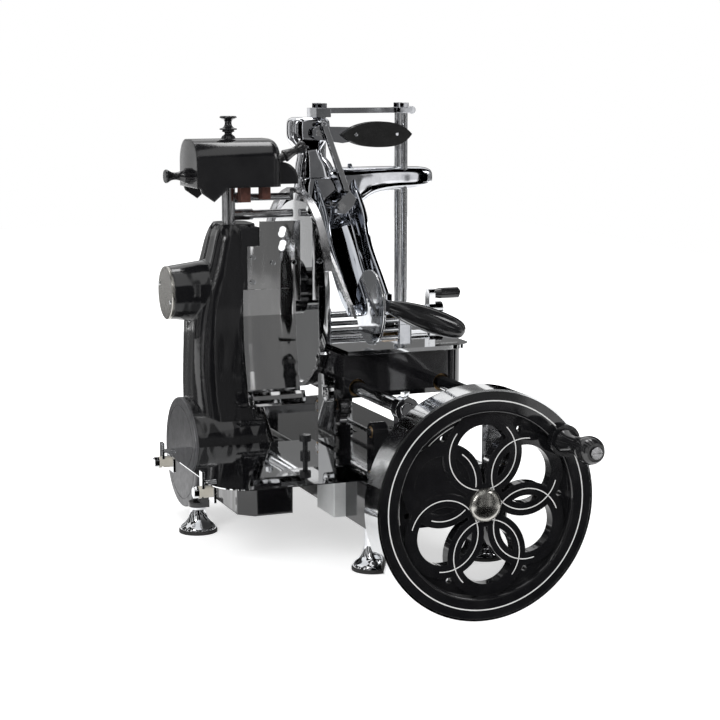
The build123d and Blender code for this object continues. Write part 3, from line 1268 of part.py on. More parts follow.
def sharpener_cover():
    """Black cover of the sharpener: round on top, open below, pointed at its left end."""
    y0, y1 = 335.0, 435.0
    x0, x1 = COVER_X
    outer = block(x0, x1, y0, y1, COVER_BOTTOM_Z, COVER_TOP_Z)
    outer = fillet(outer.edges().filter_by(Axis.X).group_by(Axis.Z)[-1], 38)
    outer = fillet(outer.edges().group_by(Axis.X)[-1].group_by(Axis.Z)[-1], 16)
    inner = block(x0 + 4, x1 - 4, y0 + 4, y1 - 4, COVER_BOTTOM_Z - 1, COVER_TOP_Z - 6)
    inner = fillet(inner.edges().filter_by(Axis.X).group_by(Axis.Z)[-1], 34)
    point = [(x0, COVER_BOTTOM_Z + 14), (x0 + 8, COVER_BOTTOM_Z - 8), (-137, 531), (-112, COVER_BOTTOM_Z), (-112, COVER_BOTTOM_Z + 14)]
    wedge = extrude(make_face(Polyline(*point, close=True)), 4)
    shell = outer - inner
    for y in (y0 + 4, y1):
        shell += facing_front(y) * wedge
    shell += block(STEM_X - 12, STEM_X + 12, y0 + 3, y1 - 3, 575, 590)
    return shell - bar_x(6, x0 - 1, x0 + 8, 385, 571) - bar_z(5, 595, COVER_TOP_Z + 1, -97, 385)


def sharpener_stem():
    """Grey stem from the column top with the two cross rods of the sharpener."""
    stem = bar_z(11, COLUMN_TOP_Z, 575, STEM_X, 385)
    stem += bar_x(9, STEM_X, -75, 385, 534) + bar_x(9, STEM_X, -58, 385, 506)
    return stem


def sharpener_rods():
    """Two bright cross rods that carry the stones over the blade edge."""
    upper = bar_x(6, -75, 7, 385, 534)
    lower = bar_x(7, -58, 12, 385, 506)
    return Compound(children=[upper, lower])


def sharpening_stones():
    """Two small red brown stones in their holder."""
    return Compound(children=[block(-86, -70, 353, 374, 528, 552), block(-50, -36, 353, 374, 532, 552)])


def stone_holder():
    """Holder plate of the stones under the cover."""
    return block(-110, -30, 352, 414, 552, 556) + block(STEM_X - 12, STEM_X + 12, 366, 404, 556, 574) - bar_z(11, 540, 576, STEM_X, 385)


def sharpener_nose():
    """Rounded black nose of the cover over the blade."""
    nose = block(-20, 14, 358, 425, 556, 592)
    nose = fillet(nose.edges().filter_by(Axis.Y).group_by(Axis.Z)[-1].sort_by(Axis.X)[-1], 30)
    return nose


def spool(length, end_radius, waist_radius):
    """Spool shaped black knob along +Z."""
    return turned_smooth(
        [(0, length), (0, 0), (end_radius, 0)],
        [
            (end_radius, 2),
            (waist_radius + 1, length * 0.3),
            (waist_radius, length * 0.5),
            (waist_radius + 1.5, length * 0.7),
            (end_radius, length - 2),
            (end_radius - 1.5, length),
        ],
    )


def sharpener_top_knob():
    """Lifting knob on top of the cover with its plunger."""
    base = COVER_TOP_Z + 0.3
    knob = Pos(-97, 385, base) * (turned([(0, 0), (12, 0), (10, 4), (6, 7), (6, 9), (10, 11), (10, 13), (5, 16), (0, 16)]))
    knob += Pos(-97, 385, base + 14) * spool(22, 14, 5.5)
    return knob + bar_z(5 - SHAFT_PLAY, 606, base + 4, -97, 385)


def sharpener_side_knob():
    """Turning knob on the left end of the cover."""
    knob = aim_back_x(spool(34, 11, 6), COVER_X[0] - 6, 385, 571)
    knob += aim_back_x(turned([(0, 0), (13, 0), (13, 5.7), (0, 5.7)]), COVER_X[0] - 0.3, 385, 571)
    return knob + bar_x(6 - SHAFT_PLAY, COVER_X[0] - 4, COVER_X[0] + 4, 385, 571)


RIGHT_KNOB_PLANE = Plane(origin=(-14.6, 345, 602), z_dir=(36, 0, 17))


def sharpener_right_knob():
    """Tilted black clamping knob at the right end of the cover."""
    return RIGHT_KNOB_PLANE * spool(38, 10, 6.5)


def right_knob_boss():
    """Boss on the cover that carries the tilted knob."""
    return RIGHT_KNOB_PLANE * Pos(0, 0, -6.05) * Cylinder(7, 12)


# ---------------------------------------------------------------- thickness gauge
GAUGE_Y = (207.0, 280.0)
GAUGE_Z = (TRAY_BOTTOM_Z + TRAY_SHEET + 1.5, 255.0)
GAUGE_STEM_Y = 243.0
GAUGE_STEM_Z = 160.0


def gauge_plate():
    """Upright mirror plate that sets the slice thickness, with its sliding stem."""
    plate = block(18, 21, *GAUGE_Y, *GAUGE_Z)
    plate = fillet(plate.edges().filter_by(Axis.X), 4)
    return plate + bar_x(6, 21, 62, GAUGE_STEM_Y, GAUGE_STEM_Z)


def gauge_post():
    """Black post on the deck in which the gauge stem slides."""
    post = block(36, 56, GAUGE_STEM_Y - 12, GAUGE_STEM_Y + 12, DECK_Z, GAUGE_STEM_Z + 14)
    return post - bar_x(6 + SHAFT_PLAY, 35, 57, GAUGE_STEM_Y, GAUGE_STEM_Z)


# ---------------------------------------------------------------- write every piece
def together(*shapes):
    """Several loose shapes of one finish as one piece of the assembly."""
    solids = []
    for shape in shapes:
        solids += shape.solids()
    return Compound(children=solids)


def bed_with_posts():
    """Bed with the two drive pedestals and the gauge post standing on its deck."""
    bed = bed_casting() + gauge_post()
    for y in (FRONT_SPROCKET_Y, CROSS_SHAFT_Y):
        bed += drive_pedestal(y)
    return bed


def rod_brackets():
    """Front and rear brackets of the carriage rods."""
    front = rod_bracket(ROD_FRONT_Y, ROD_FRONT_Y + BRACKET_LENGTH)
    rear = rod_bracket(ROD_REAR_Y - BRACKET_LENGTH, ROD_REAR_Y)
    return together(front, rear)


def cross_shaft_set():
    """Cross shaft with its mitre gear, its spur gear and the large chain wheel."""
    wheel = blade_sprocket(LOWER_SPROCKET_RADIUS, LOWER_SPROCKET_TEETH, SHAFT_Z, CROSS_SHAFT_RADIUS)
    return cross_shaft() + cross_bevel() + lower_feed_gear() + wheel


def blade_spindle_set():
    """Blade spindle with its chain wheel."""
    wheel = blade_sprocket(UPPER_SPROCKET_RADIUS, UPPER_SPROCKET_TEETH, BLADE_AXIS_Z, SPINDLE_RADIUS)
    return blade_spindle() + wheel


def pieces():
    """Every piece of the assembly by its node name."""
    feet = [foot(*place) for place in FOOT_PLACES.values()]
    pads = [foot_pad(x, y) for x, y, top in FOOT_PLACES.values()]
    rods = [carriage_rod(x) for x in (ROD_LEFT_X, ROD_RIGHT_X)]
    return {
        "bed_casting": bed_with_posts(),
        "tower_casting": tower_casting(),
        "barrel_cap": barrel_cap(),
        "drum_cover": drum_cover(),
        "bell_feet": together(*feet),
        "foot_pads": together(*pads),
        "carriage_rods": together(*rods),
        "rod_brackets": rod_brackets(),
        "small_screws": together(cap_screws(), rod_nuts(), plate_screws()),
        "shaft_bushes": together(shaft_bushes(), cross_bushes(), spindle_bushes()),
        "spindle_sleeve": spindle_sleeve(),
        "drive_chains": together(carriage_chain(), blade_chain()),
        "slice_tray": slice_tray(),
        "tray_spacers": tray_spacers(),
        "tray_clamps": together(tray_clamp_tabs(), tray_clamp_bolts()),
        "tray_clamp_collars": tray_clamp_collars(),
        "tray_knob": tray_knob(),
        "terminal_cover": terminal_cover(),
        "blade_guard": blade_guard(),
        "guard_plate": guard_plate(),
        "slice_deflector": slice_deflector(),
        "sharpener_frame": sharpener_stem() + sharpener_rods() + stone_holder(),
        "sharpening_stones": sharpening_stones(),
        "sharpener_cover": sharpener_cover() + sharpener_nose() + right_knob_boss(),
        "sharpener_top_knob": sharpener_top_knob(),
        "sharpener_side_knob": sharpener_side_knob(),
        "sharpener_right_knob": sharpener_right_knob(),
        "gauge_plate": gauge_plate(),
        "flywheel": flywheel(),
        "flywheel_band": flywheel_band(),
        "flywheel_cap": flywheel_cap(),
        "flywheel_shaft": flywheel_shaft() + flywheel_bevel(),
        "crank_pin": crank_pin(),
        "crank_grip": crank_grip(),
        "cross_shaft": cross_shaft_set(),
        "drive_sprocket": sprocket_with_shaft(CROSS_SHAFT_Y) + upper_feed_gear(),
        "idler_sprocket": sprocket_with_shaft(FRONT_SPROCKET_Y),
        "blade": blade(),
        "blade_hub": blade_hub(),
        "blade_spindle": blade_spindle_set(),
        "carriage_casting": carriage_casting() + drive_fork(),
        "carriage_bushes": carriage_bushes(),
        "meat_table": meat_table(),
        "table_runners": table_runners(),
        "foot_blocks": foot_blocks(),
        "press_columns": together(press_columns(), guide_rods()),
        "feed_screw": feed_screw(),
        "feed_grip": feed_grip(),
        "press_beam": press_beam(),
        "top_bridge": top_bridge(),
        "press_pins": together(lever_pin(), catch_pin()),
        "press_arm": press_arm(),
        "toothed_plate": toothed_plate(),
        "guard_disc": guard_disc(),
        "press_handle": press_handle(),
        "hand_lever": together(hand_lever(), grip_rivets()),
        "lever_grips": lever_grips(),
        "link_rod": link_rod(),
        "catch_plate": catch_plate(),
    }


os.makedirs("parts", exist_ok=True)
for node, shape in pieces().items():
    export_step(shape, os.path.join("parts", node + ".step"))
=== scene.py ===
import bmesh
import bpy
import json
import math
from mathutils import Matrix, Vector


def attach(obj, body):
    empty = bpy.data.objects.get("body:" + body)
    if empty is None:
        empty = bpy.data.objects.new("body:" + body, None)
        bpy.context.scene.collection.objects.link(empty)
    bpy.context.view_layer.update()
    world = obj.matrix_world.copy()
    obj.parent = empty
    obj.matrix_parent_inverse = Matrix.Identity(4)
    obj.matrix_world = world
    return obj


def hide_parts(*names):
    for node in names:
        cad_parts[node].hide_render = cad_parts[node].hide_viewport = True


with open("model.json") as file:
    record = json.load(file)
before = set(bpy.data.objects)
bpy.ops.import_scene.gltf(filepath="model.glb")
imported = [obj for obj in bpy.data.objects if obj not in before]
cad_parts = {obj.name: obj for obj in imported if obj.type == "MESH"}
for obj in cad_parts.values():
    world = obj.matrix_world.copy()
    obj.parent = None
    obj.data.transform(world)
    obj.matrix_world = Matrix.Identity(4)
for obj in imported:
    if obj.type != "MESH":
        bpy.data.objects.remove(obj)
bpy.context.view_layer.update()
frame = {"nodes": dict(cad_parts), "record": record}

NODES = frame["nodes"]
SLOT_OF = {row["node"]: row["material_slot"] for row in frame["record"]["subparts"]}
MM = 0.001
MICRON = 0.000001

# ---------------------------------------------------------------- materials
MATERIALS = {}
COAT_ROUGHNESS = 0.03
SMEAR_FINER = 2.3


def node(tree, kind, **values):
    """Add a node and set its sockets by name."""
    made = tree.nodes.new(kind)
    for name, value in values.items():
        made.inputs[name.replace("_", " ")].default_value = value
    return made


def math_node(tree, operation, *inputs):
    """Join sockets by one arithmetic step; a number among them sets its socket."""
    made = tree.nodes.new("ShaderNodeMath")
    made.operation = operation
    for socket, value in zip(made.inputs, inputs):
        if isinstance(value, float):
            socket.default_value = value
        else:
            tree.links.new(value, socket)
    return made.outputs[0]


def noise(tree, place, scale, detail=4.0, rough=0.55, stretch=None):
    """Noise in metres on the object's own coordinates, drawn out along a leaning line where asked."""
    if stretch:
        lean, length = stretch
        scaled = tree.nodes.new("ShaderNodeMapping")
        scaled.vector_type = "TEXTURE"
        scaled.inputs["Rotation"].default_value = (math.radians(lean), 0, 0)
        scaled.inputs["Scale"].default_value = (1, length, 1)
        tree.links.new(place, scaled.inputs["Vector"])
        place = scaled.outputs["Vector"]
    made = node(tree, "ShaderNodeTexNoise", Scale=scale, Detail=detail, Roughness=rough)
    tree.links.new(place, made.inputs["Vector"])
    return made.outputs["Fac"]


def spread(tree, value, low, high, start=0.3, end=0.7):
    """Carry a value from one range to another."""
    made = node(tree, "ShaderNodeMapRange", From_Min=start, From_Max=end, To_Min=low, To_Max=high)
    tree.links.new(value, made.inputs["Value"])
    return made.outputs["Result"]


def two_tone(tree, value, first, second):
    """Mix two colours by a value."""
    made = tree.nodes.new("ShaderNodeMix")
    made.data_type = "RGBA"
    made.inputs[6].default_value = (*first, 1)
    made.inputs[7].default_value = (*second, 1)
    tree.links.new(value, made.inputs["Factor"])
    return made.outputs[2]


def bumped(tree, height, strength, distance, before=None):
    """Bump a normal by a height."""
    made = node(tree, "ShaderNodeBump", Strength=strength, Distance=distance)
    tree.links.new(height, made.inputs["Height"])
    if before is not None:
        tree.links.new(before, made.inputs["Normal"])
    return made.outputs["Normal"]


def material(
    name,
    light,
    dark,
    metallic,
    rough,
    patch,
    wave=None,
    grain=None,
    coat=0.0,
    stretch=None,
    edge=0.0,
):
    """Procedural finish: two tones in patches, a roughness that varies, a slow wave and a fine grain.

    A wave or a grain is (scale, strength, depth in micron), and an edge is the radius in mm that
    sharp corners seem to have.
    """
    made = bpy.data.materials.new(name)
    made.use_nodes = True
    tree = made.node_tree
    shader = tree.nodes["Principled BSDF"]
    shader.inputs["Metallic"].default_value = metallic
    shader.inputs["Coat Weight"].default_value = coat
    shader.inputs["Coat Roughness"].default_value = COAT_ROUGHNESS
    place = tree.nodes.new("ShaderNodeTexCoord").outputs["Object"]
    tone = spread(tree, noise(tree, place, patch, stretch=stretch), 0.0, 1.0)
    tree.links.new(two_tone(tree, tone, light, dark), shader.inputs["Base Color"])
    smear = spread(tree, noise(tree, place, patch * SMEAR_FINER, 6.0, 0.65, stretch), *rough)
    tree.links.new(smear, shader.inputs["Roughness"])
    normal = None
    if edge:
        normal = node(tree, "ShaderNodeBevel", Radius=edge * MM).outputs["Normal"]
    if wave:
        scale, strength, depth = wave
        swell = noise(tree, place, scale, 1.0, 0.3, stretch)
        normal = bumped(tree, swell, strength, depth * MICRON, normal)
    if grain:
        scale, strength, depth = grain
        speckle = noise(tree, place, scale, 2.0, 0.5, stretch)
        normal = bumped(tree, speckle, strength, depth * MICRON, normal)
    if normal is not None:
        tree.links.new(normal, shader.inputs["Normal"])
    MATERIALS[name] = made
    return made


PAINT = ((0.006, 0.006, 0.007), (0.012, 0.012, 0.013), 0.0, (0.05, 0.11), 24)
PAINT_GRAIN = (900, 0.08, 50)
PAINT_COAT = 0.3
material("black_paint", *PAINT, (22, 0.25, 600), PAINT_GRAIN, PAINT_COAT, edge=1.4)
material("hood_paint", *PAINT, (16, 0.3, 1000), PAINT_GRAIN, PAINT_COAT, edge=6)
material("tower_paint", *PAINT, (30, 0.8, 5000), None, PAINT_COAT, (90, 7), edge=4)

material(
    "plate_chrome", (0.78, 0.78, 0.78), (0.62, 0.62, 0.63), 1.0, (0.05, 0.10), 20,
    wave=(24, 0.9, 6000), stretch=(80, 6), edge=1,
)
material(
    "chrome", (0.80, 0.81, 0.83), (0.70, 0.71, 0.73), 1.0, (0.03, 0.08), 30,
    wave=(26, 0.3, 800), grain=(1500, 0.05, 20), edge=0.8,
)
material(
    "cast_chrome", (0.74, 0.75, 0.78), (0.52, 0.53, 0.56), 1.0, (0.03, 0.09), 30,
    wave=(17, 0.5, 2200), grain=(1200, 0.06, 30), edge=1.2,
)
# Chrome of the arm: its light and dark tones are drawn out along a leaning line, partly an uneven tone of the chrome
# and partly painted reflection streaks.
material(
    "arm_chrome_painted_streaks", (0.66, 0.68, 0.72), (0.34, 0.36, 0.40), 1.0, (0.03, 0.08), 34,
    wave=(38, 0.7, 3200), stretch=(51, 9),
)
material(
    "band_chrome", (0.80, 0.81, 0.82), (0.68, 0.69, 0.70), 1.0, (0.05, 0.12), 18,
    wave=(9, 0.35, 3000), grain=(900, 0.1, 30),
)
material(
    "cap_metal", (0.46, 0.45, 0.42), (0.42, 0.41, 0.385), 1.0, (0.22, 0.28), 16,
    grain=(1300, 0.15, 30), edge=1,
)
material("steel", (0.62, 0.62, 0.63), (0.5, 0.5, 0.51), 1.0, (0.14, 0.26), 60, grain=(1400, 0.1, 30))
material(
    "mirror_steel", (0.82, 0.83, 0.84), (0.76, 0.77, 0.78), 1.0, (0.015, 0.05), 12,
    wave=(7, 0.2, 900), grain=(1700, 0.03, 20),
)
material(
    "dull_grey", (0.15, 0.15, 0.155), (0.105, 0.105, 0.11), 0.55, (0.34, 0.5), 45,
    grain=(1300, 0.25, 60),
)
material(
    "label_grey", (0.82, 0.83, 0.83), (0.74, 0.75, 0.75), 0.0, (0.4, 0.55), 40,
    grain=(900, 0.2, 50),
)
material(
    "rubber", (0.012, 0.012, 0.012), (0.022, 0.021, 0.02), 0.0, (0.6, 0.8), 70,
    grain=(1200, 0.4, 100),
)
material("bronze", (0.52, 0.35, 0.18), (0.4, 0.26, 0.13), 1.0, (0.25, 0.4), 60, grain=(900, 0.1, 50))
material(
    "cream_plastic", (0.58, 0.55, 0.48), (0.48, 0.45, 0.39), 0.0, (0.35, 0.5), 60,
    grain=(700, 0.15, 80),
)
material(
    "black_plastic", (0.010, 0.010, 0.011), (0.018, 0.018, 0.019), 0.0, (0.1, 0.2), 50,
    wave=(40, 0.1, 300), grain=(1100, 0.12, 40), coat=0.3,
)
material(
    "stone_red", (0.10, 0.035, 0.024), (0.06, 0.022, 0.016), 0.0, (0.75, 0.95), 160,
    grain=(1500, 0.8, 300),
)
material(
    "white_paint", (0.86, 0.86, 0.85), (0.76, 0.76, 0.75), 0.0, (0.25, 0.35), 90,
    grain=(1500, 0.1, 30),
)

GROOVE_LEAN = 45
GROOVE_SCALE = 135.0
GROOVE_DEPTH = 0.0004


def chequered(name):
    """Black grip with fine crossed grooves."""
    made = material(name, (0.005, 0.005, 0.005), (0.010, 0.010, 0.010), 0.0, (0.38, 0.5), 60)
    tree = made.node_tree
    shader = tree.nodes["Principled BSDF"]
    shader.inputs["Specular IOR Level"].default_value = 0.3
    place = tree.nodes.new("ShaderNodeTexCoord").outputs["Object"]
    rows = []
    for lean in (GROOVE_LEAN, -GROOVE_LEAN):
        turned = tree.nodes.new("ShaderNodeMapping")
        turned.inputs["Rotation"].default_value = (0, math.radians(lean), 0)
        tree.links.new(place, turned.inputs["Vector"])
        wave = node(tree, "ShaderNodeTexWave", Scale=GROOVE_SCALE)
        tree.links.new(turned.outputs["Vector"], wave.inputs["Vector"])
        rows.append(wave.outputs["Fac"])
    crossed = math_node(tree, "MULTIPLY", *rows)
    tree.links.new(bumped(tree, crossed, 0.8, GROOVE_DEPTH), shader.inputs["Normal"])


def painted_boss(name, front_y):
    """Bright steel in front of a plane, black paint behind it."""
    made = material(
        name, (0.5, 0.5, 0.5), (0.4, 0.4, 0.41), 1.0, (0.1, 0.2), 60, grain=(1200, 0.1, 30), edge=1
    )
    tree = made.node_tree
    shader = tree.nodes["Principled BSDF"]
    place = tree.nodes.new("ShaderNodeTexCoord").outputs["Object"]
    split = tree.nodes.new("ShaderNodeSeparateXYZ")
    tree.links.new(place, split.inputs[0])
    ahead = math_node(tree, "LESS_THAN", split.outputs["Y"], front_y)
    tree.links.new(ahead, shader.inputs["Metallic"])
    colour = two_tone(tree, ahead, (0.008, 0.008, 0.009), (0.46, 0.46, 0.47))
    tree.links.new(colour, shader.inputs["Base Color"])


BOSS_FRONT_Y = -0.12
chequered("chequered_grip")
painted_boss("crank_boss", BOSS_FRONT_Y)
NODES_OF_FINISH = {
    "chequered_grip": ("lever_grips",),
    "band_chrome": ("flywheel_band",),
    "cap_metal": ("barrel_cap", "flywheel_cap"),
    "crank_boss": ("crank_pin",),
    "arm_chrome_painted_streaks": ("press_arm",),
    "hood_paint": ("sharpener_cover",),
    "tower_paint": ("tower_casting",),
    "plate_chrome": ("guard_plate", "slice_deflector"),
    "chrome": ("press_columns", "carriage_rods", "link_rod"),
    "cast_chrome": ("foot_blocks", "top_bridge", "press_beam", "hand_lever"),
}
OWN_FINISH = {name: finish for finish, names in NODES_OF_FINISH.items() for name in names}

for name, obj in NODES.items():
    obj.data.materials.clear()
    obj.data.materials.append(MATERIALS[OWN_FINISH.get(name, SLOT_OF[name])])


# ---------------------------------------------------------------- mesh helpers
def mesh_of(name, build):
    """Mesh from a function that fills a bmesh."""
    mesh = bpy.data.meshes.new(name)
    work = bmesh.new()
    build(work)
    work.to_mesh(mesh)
    work.free()
    return mesh


def placed(name, data):
    """Object of the scene that shows some data."""
    made = bpy.data.objects.new(name, data)
    bpy.context.scene.collection.objects.link(made)
    return made


def piece(name, body, build, finish):
    """Smooth piece from a function that fills a bmesh, in the frame's metres, riding on a body."""

    def build_outward(work):
        build(work)
        bmesh.ops.recalc_face_normals(work, faces=work.faces)

    mesh = mesh_of(name, build_outward)
    made = placed(name, mesh)
    for face in mesh.polygons:
        face.use_smooth = True
    mesh.materials.append(MATERIALS[finish])
    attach(made, body)
    return made


def add_box(work, low, high, unit):
    """Box between two corners."""
    made = bmesh.ops.create_cube(work, size=1.0)
    for vert in made["verts"]:
        vert.co = [(low[i] + (vert.co[i] + 0.5) * (high[i] - low[i])) * unit for i in range(3)]


# ---------------------------------------------------------------- white lines on the flywheel
WHEEL_X = 145.0
WHEEL_Z = 105.0
FACE_Y = -95.0
PETAL_Y = -86.0
WEB_Y = -83.0
PETAL_COUNT = 6
FIRST_PETAL_ANGLE = 33
SOLID_PETAL = 2
PETAL_CENTRE_RADIUS = 77
PETAL_LINE_RADIUS = 54.0
PETAL_LINE_WIDTH = 1.5
PETAL_LINE_START = 48
PETAL_LINE_SWEEP = 264
SOLID_PETAL_STARTS = (("a", 200), ("b", 98))
SOLID_PETAL_SWEEP = 62
LINE_RAISE = 0.14
LINE_TOP_SHARE = 0.3
FULL_TURN = 360.0
DEGREES_PER_STEP = 3


def line_ring(name, x, z, y, radius, width, start=0.0, sweep=FULL_TURN):
    """Raised painted line: a flat ring, or part of one, on a plane that faces the operator."""
    top = width * LINE_TOP_SHARE
    profile = (
        (radius - width / 2, 0.0),
        (radius - top, LINE_RAISE),
        (radius + top, LINE_RAISE),
        (radius + width / 2, 0.0),
    )

    def build(work):
        steps = max(12, int(sweep / DEGREES_PER_STEP))
        rows = []
        for step in range(steps if sweep >= FULL_TURN else steps + 1):
            turn = math.radians(start + sweep * step / steps)
            c, s = math.cos(turn), math.sin(turn)
            points = (((x + r * c) * MM, (y - out) * MM, (z + r * s) * MM) for r, out in profile)
            rows.append([work.verts.new(point) for point in points])
        for step in range(steps):
            here, there = rows[step], rows[(step + 1) % len(rows)]
            for col in range(len(profile) - 1):
                work.faces.new((here[col], here[col + 1], there[col + 1], there[col]))

    piece(name, "flywheel", build, "white_paint")


def petal_line(name, index, start, sweep):
    """Line on the ring of one petal, with its start counted from the petal's own angle."""
    angle = FIRST_PETAL_ANGLE + FULL_TURN / PETAL_COUNT * index
    turn = math.radians(angle)
    x = WHEEL_X + PETAL_CENTRE_RADIUS * math.cos(turn)
    z = WHEEL_Z + PETAL_CENTRE_RADIUS * math.sin(turn)
    line_ring(name, x, z, PETAL_Y, PETAL_LINE_RADIUS, PETAL_LINE_WIDTH, angle + start, sweep)


for index in range(PETAL_COUNT):
    if index == SOLID_PETAL:
        for letter, start in SOLID_PETAL_STARTS:
            petal_line(f"petal_line_{index}{letter}", index, start, SOLID_PETAL_SWEEP)
    else:
        petal_line(f"petal_line_{index}", index, PETAL_LINE_START, PETAL_LINE_SWEEP)
line_ring("rim_line", WHEEL_X, WHEEL_Z, FACE_Y, radius=158.0, width=1.8)
line_ring("web_line_a", WHEEL_X, WHEEL_Z, WEB_Y, radius=136.5, width=1.1, start=96, sweep=92)
line_ring("web_line_b", WHEEL_X, WHEEL_Z, WEB_Y, radius=131.0, width=1.0, start=104, sweep=60)


# ---------------------------------------------------------------- cast press in rounded forms
def between(a, b, c, d, t):
    """Value of a smooth curve at a share t of its span from b to c."""
    second = 2 * a - 5 * b + 4 * c - d
    third = 3 * b - a - 3 * c + d
    return 0.5 * (2 * b + (c - a) * t + second * t * t + third * t**3)


def smooth_line(points, steps):
    """Even run of points along a smooth curve through the given ones."""
    ends = [points[0], *points, points[-1]]
    run = []
    spans = len(points) - 1
    for step in range(steps + 1):
        share = spans * step / steps
        index = min(int(share), spans - 1)
        around = zip(*ends[index : index + 4])
        run.append(tuple(between(*values, share - index) for values in around))
    return run


def skin(work, loops):
    """Close a run of equal loops into one solid with end caps."""
    rows = [[work.verts.new(Vector(point) * MM) for point in loop] for loop in loops]
    count = len(rows[0])
    for here, there in zip(rows, rows[1:]):
        for index in range(count):
            after = (index + 1) % count
            work.faces.new((here[index], here[after], there[after], there[index]))
    work.faces.new(rows[0])
    work.faces.new(rows[-1])


LOOP_SIDES = 40


def rounded(half_u, half_v, power):
    """Loop of a rounded rectangle as a superellipse."""
    loop = []
    for step in range(LOOP_SIDES):
        turn = 2 * math.pi * (step + 0.5) / LOOP_SIDES
        c, s = math.cos(turn), math.sin(turn)
        u = half_u * math.copysign(abs(c) ** (2 / power), c)
        v = half_v * math.copysign(abs(s) ** (2 / power), s)
        loop.append((u, v))
    return loop


BEAM_Y = 437.0
BEAM_STEPS = 60
BEAM_SQUARENESS = 3.4
# Each row: X, bottom Z, top Z and half of the width along Y.
BEAM_SECTIONS = (
    (38, 528, 544, 12), (42, 516, 560, 20), (56, 504, 575, 24), (90, 500, 578, 25),
    (122, 501, 577, 25), (146, 512, 577, 25), (172, 529, 577, 24), (206, 536, 577, 23),
    (246, 538, 576, 23), (268, 540, 575, 22), (279, 545, 571, 19), (284, 553, 563, 10),
)
NECK_Y = BEAM_Y - 0.5
NECK_STEPS = 48
NECK_SQUARENESS = 3.6
# Each row: Z, middle X, and half of the width along X and along Y.
NECK_SECTIONS = (
    (560, 72, 34, 24), (582, 69, 29, 23), (598, 64, 21, 21), (608, 61, 21, 21), (617, 59.5, 28, 23),
    (628, 59.5, 34, 25), (646, 59.5, 35, 25), (657, 59.5, 33, 24), (661.6, 59.5, 26, 19),
)


def beam_form(work):
    """Rounded beam that tapers to its nose, with the neck and the lever head."""
    loops = []
    for x, low, high, half in smooth_line(BEAM_SECTIONS, BEAM_STEPS):
        loop = rounded(half, (high - low) / 2, BEAM_SQUARENESS)
        loops.append([(x, BEAM_Y + u, (low + high) / 2 + v) for u, v in loop])
    skin(work, loops)
    loops = []
    for z, x, half_x, half_y in smooth_line(NECK_SECTIONS, NECK_STEPS):
        loops.append([(x + u, NECK_Y + v, z) for u, v in rounded(half_x, half_y, NECK_SQUARENESS)])
    skin(work, loops)


beam = piece("press_beam_form", "press", beam_form, "cast_chrome")
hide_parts("press_beam")

ARM_STEPS = 48
# Y and Z of the front and of the rear edge, from the beam down.
ARM_FRONT = ((430, 584), (411.8, 556), (385, 530), (360, 502), (335, 452), (285, 403), (256, 372), (250, 354))
ARM_REAR = ((432, 520), (411.8, 500), (396, 482), (380, 462), (345, 412), (300, 362), (276, 350), (260, 345))
# X and share of the way from the front edge to the rear one, round the trough.
ARM_ACROSS = (
    (62, 0.0), (67, 0.0), (68, 0.62), (74, 0.84), (98, 0.88), (120, 0.84), (127, 0.62),
    (128, 0.0), (136, 0.0), (136, 0.7), (130, 1.0), (70, 1.0), (62, 0.75),
)
# Corners of the plain blocks at the arm's foot that carry the plate, the disc and the handle.
ARM_FOOT = (((82, 248, 355), (100, 262, 381)), ((100, 250, 357), (136, 262, 381)), ((82, 199, 361), (100, 250, 379)))
ARM_EDGE = 1.6
ARM_EDGE_ANGLE = 38


def arm_form(work):
    """Trough shaped arm: two cheeks and a hollow web, swept along its curve."""
    loops = []
    for front, rear in zip(smooth_line(ARM_FRONT, ARM_STEPS), smooth_line(ARM_REAR, ARM_STEPS)):
        loop = []
        for x, share in ARM_ACROSS:
            y = front[0] + (rear[0] - front[0]) * share
            z = front[1] + (rear[1] - front[1]) * share
            loop.append((x, y, z))
        loops.append(loop)
    skin(work, loops)
    for low, high in ARM_FOOT:
        add_box(work, low, high, MM)


arm = piece("press_arm_form", "press", arm_form, "arm_chrome_painted_streaks")
arm_edge = arm.modifiers.new("edge", "BEVEL")
arm_edge.width = ARM_EDGE * MM
arm_edge.segments = 3
arm_edge.limit_method = "ANGLE"
arm_edge.angle_limit = math.radians(ARM_EDGE_ANGLE)
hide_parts("press_arm")


# ---------------------------------------------------------------- stage
def direct_rays(tree):
    """One for camera, glossy and transmission rays, else zero."""
    path = tree.nodes.new("ShaderNodeLightPath")
    seen = math_node(tree, "MAXIMUM", path.outputs["Is Camera Ray"], path.outputs["Is Glossy Ray"])
    return math_node(tree, "MAXIMUM", seen, path.outputs["Is Transmission Ray"])


STAGE_CENTRE = (0.04, 0.2, 0.0)
STAGE_COLOUR = (0.82, 0.82, 0.82, 1)
STAGE_GLOW = (0.56, 1.0)
STAGE_FADE = (0.5, 1.1)


def stage_material(name):
    """White stage: lit and shadowed near the machine, plain white further out."""
    made = bpy.data.materials.new(name)
    made.use_nodes = True
    tree = made.node_tree
    tree.nodes.clear()
    diffuse = node(tree, "ShaderNodeBsdfDiffuse", Color=STAGE_COLOUR)
    spot = tree.nodes.new("ShaderNodeNewGeometry")
    away = tree.nodes.new("ShaderNodeVectorMath")
    away.operation = "DISTANCE"
    away.inputs[1].default_value = STAGE_CENTRE
    tree.links.new(spot.outputs["Position"], away.inputs[0])
    fade = spread(tree, away.outputs["Value"], *STAGE_GLOW, *STAGE_FADE)
    shine = node(tree, "ShaderNodeEmission")
    tree.links.new(math_node(tree, "MULTIPLY", direct_rays(tree), fade), shine.inputs["Strength"])
    both = tree.nodes.new("ShaderNodeAddShader")
    tree.links.new(diffuse.outputs[0], both.inputs[0])
    tree.links.new(shine.outputs[0], both.inputs[1])
    out = tree.nodes.new("ShaderNodeOutputMaterial")
    tree.links.new(both.outputs[0], out.inputs["Surface"])
    return made


def stage_box(name, low, high, finish):
    """Plain box of the stage between two corners."""
    mesh = mesh_of(name, lambda work: add_box(work, low, high, 1.0))
    made = placed(name, mesh)
    mesh.materials.append(finish)


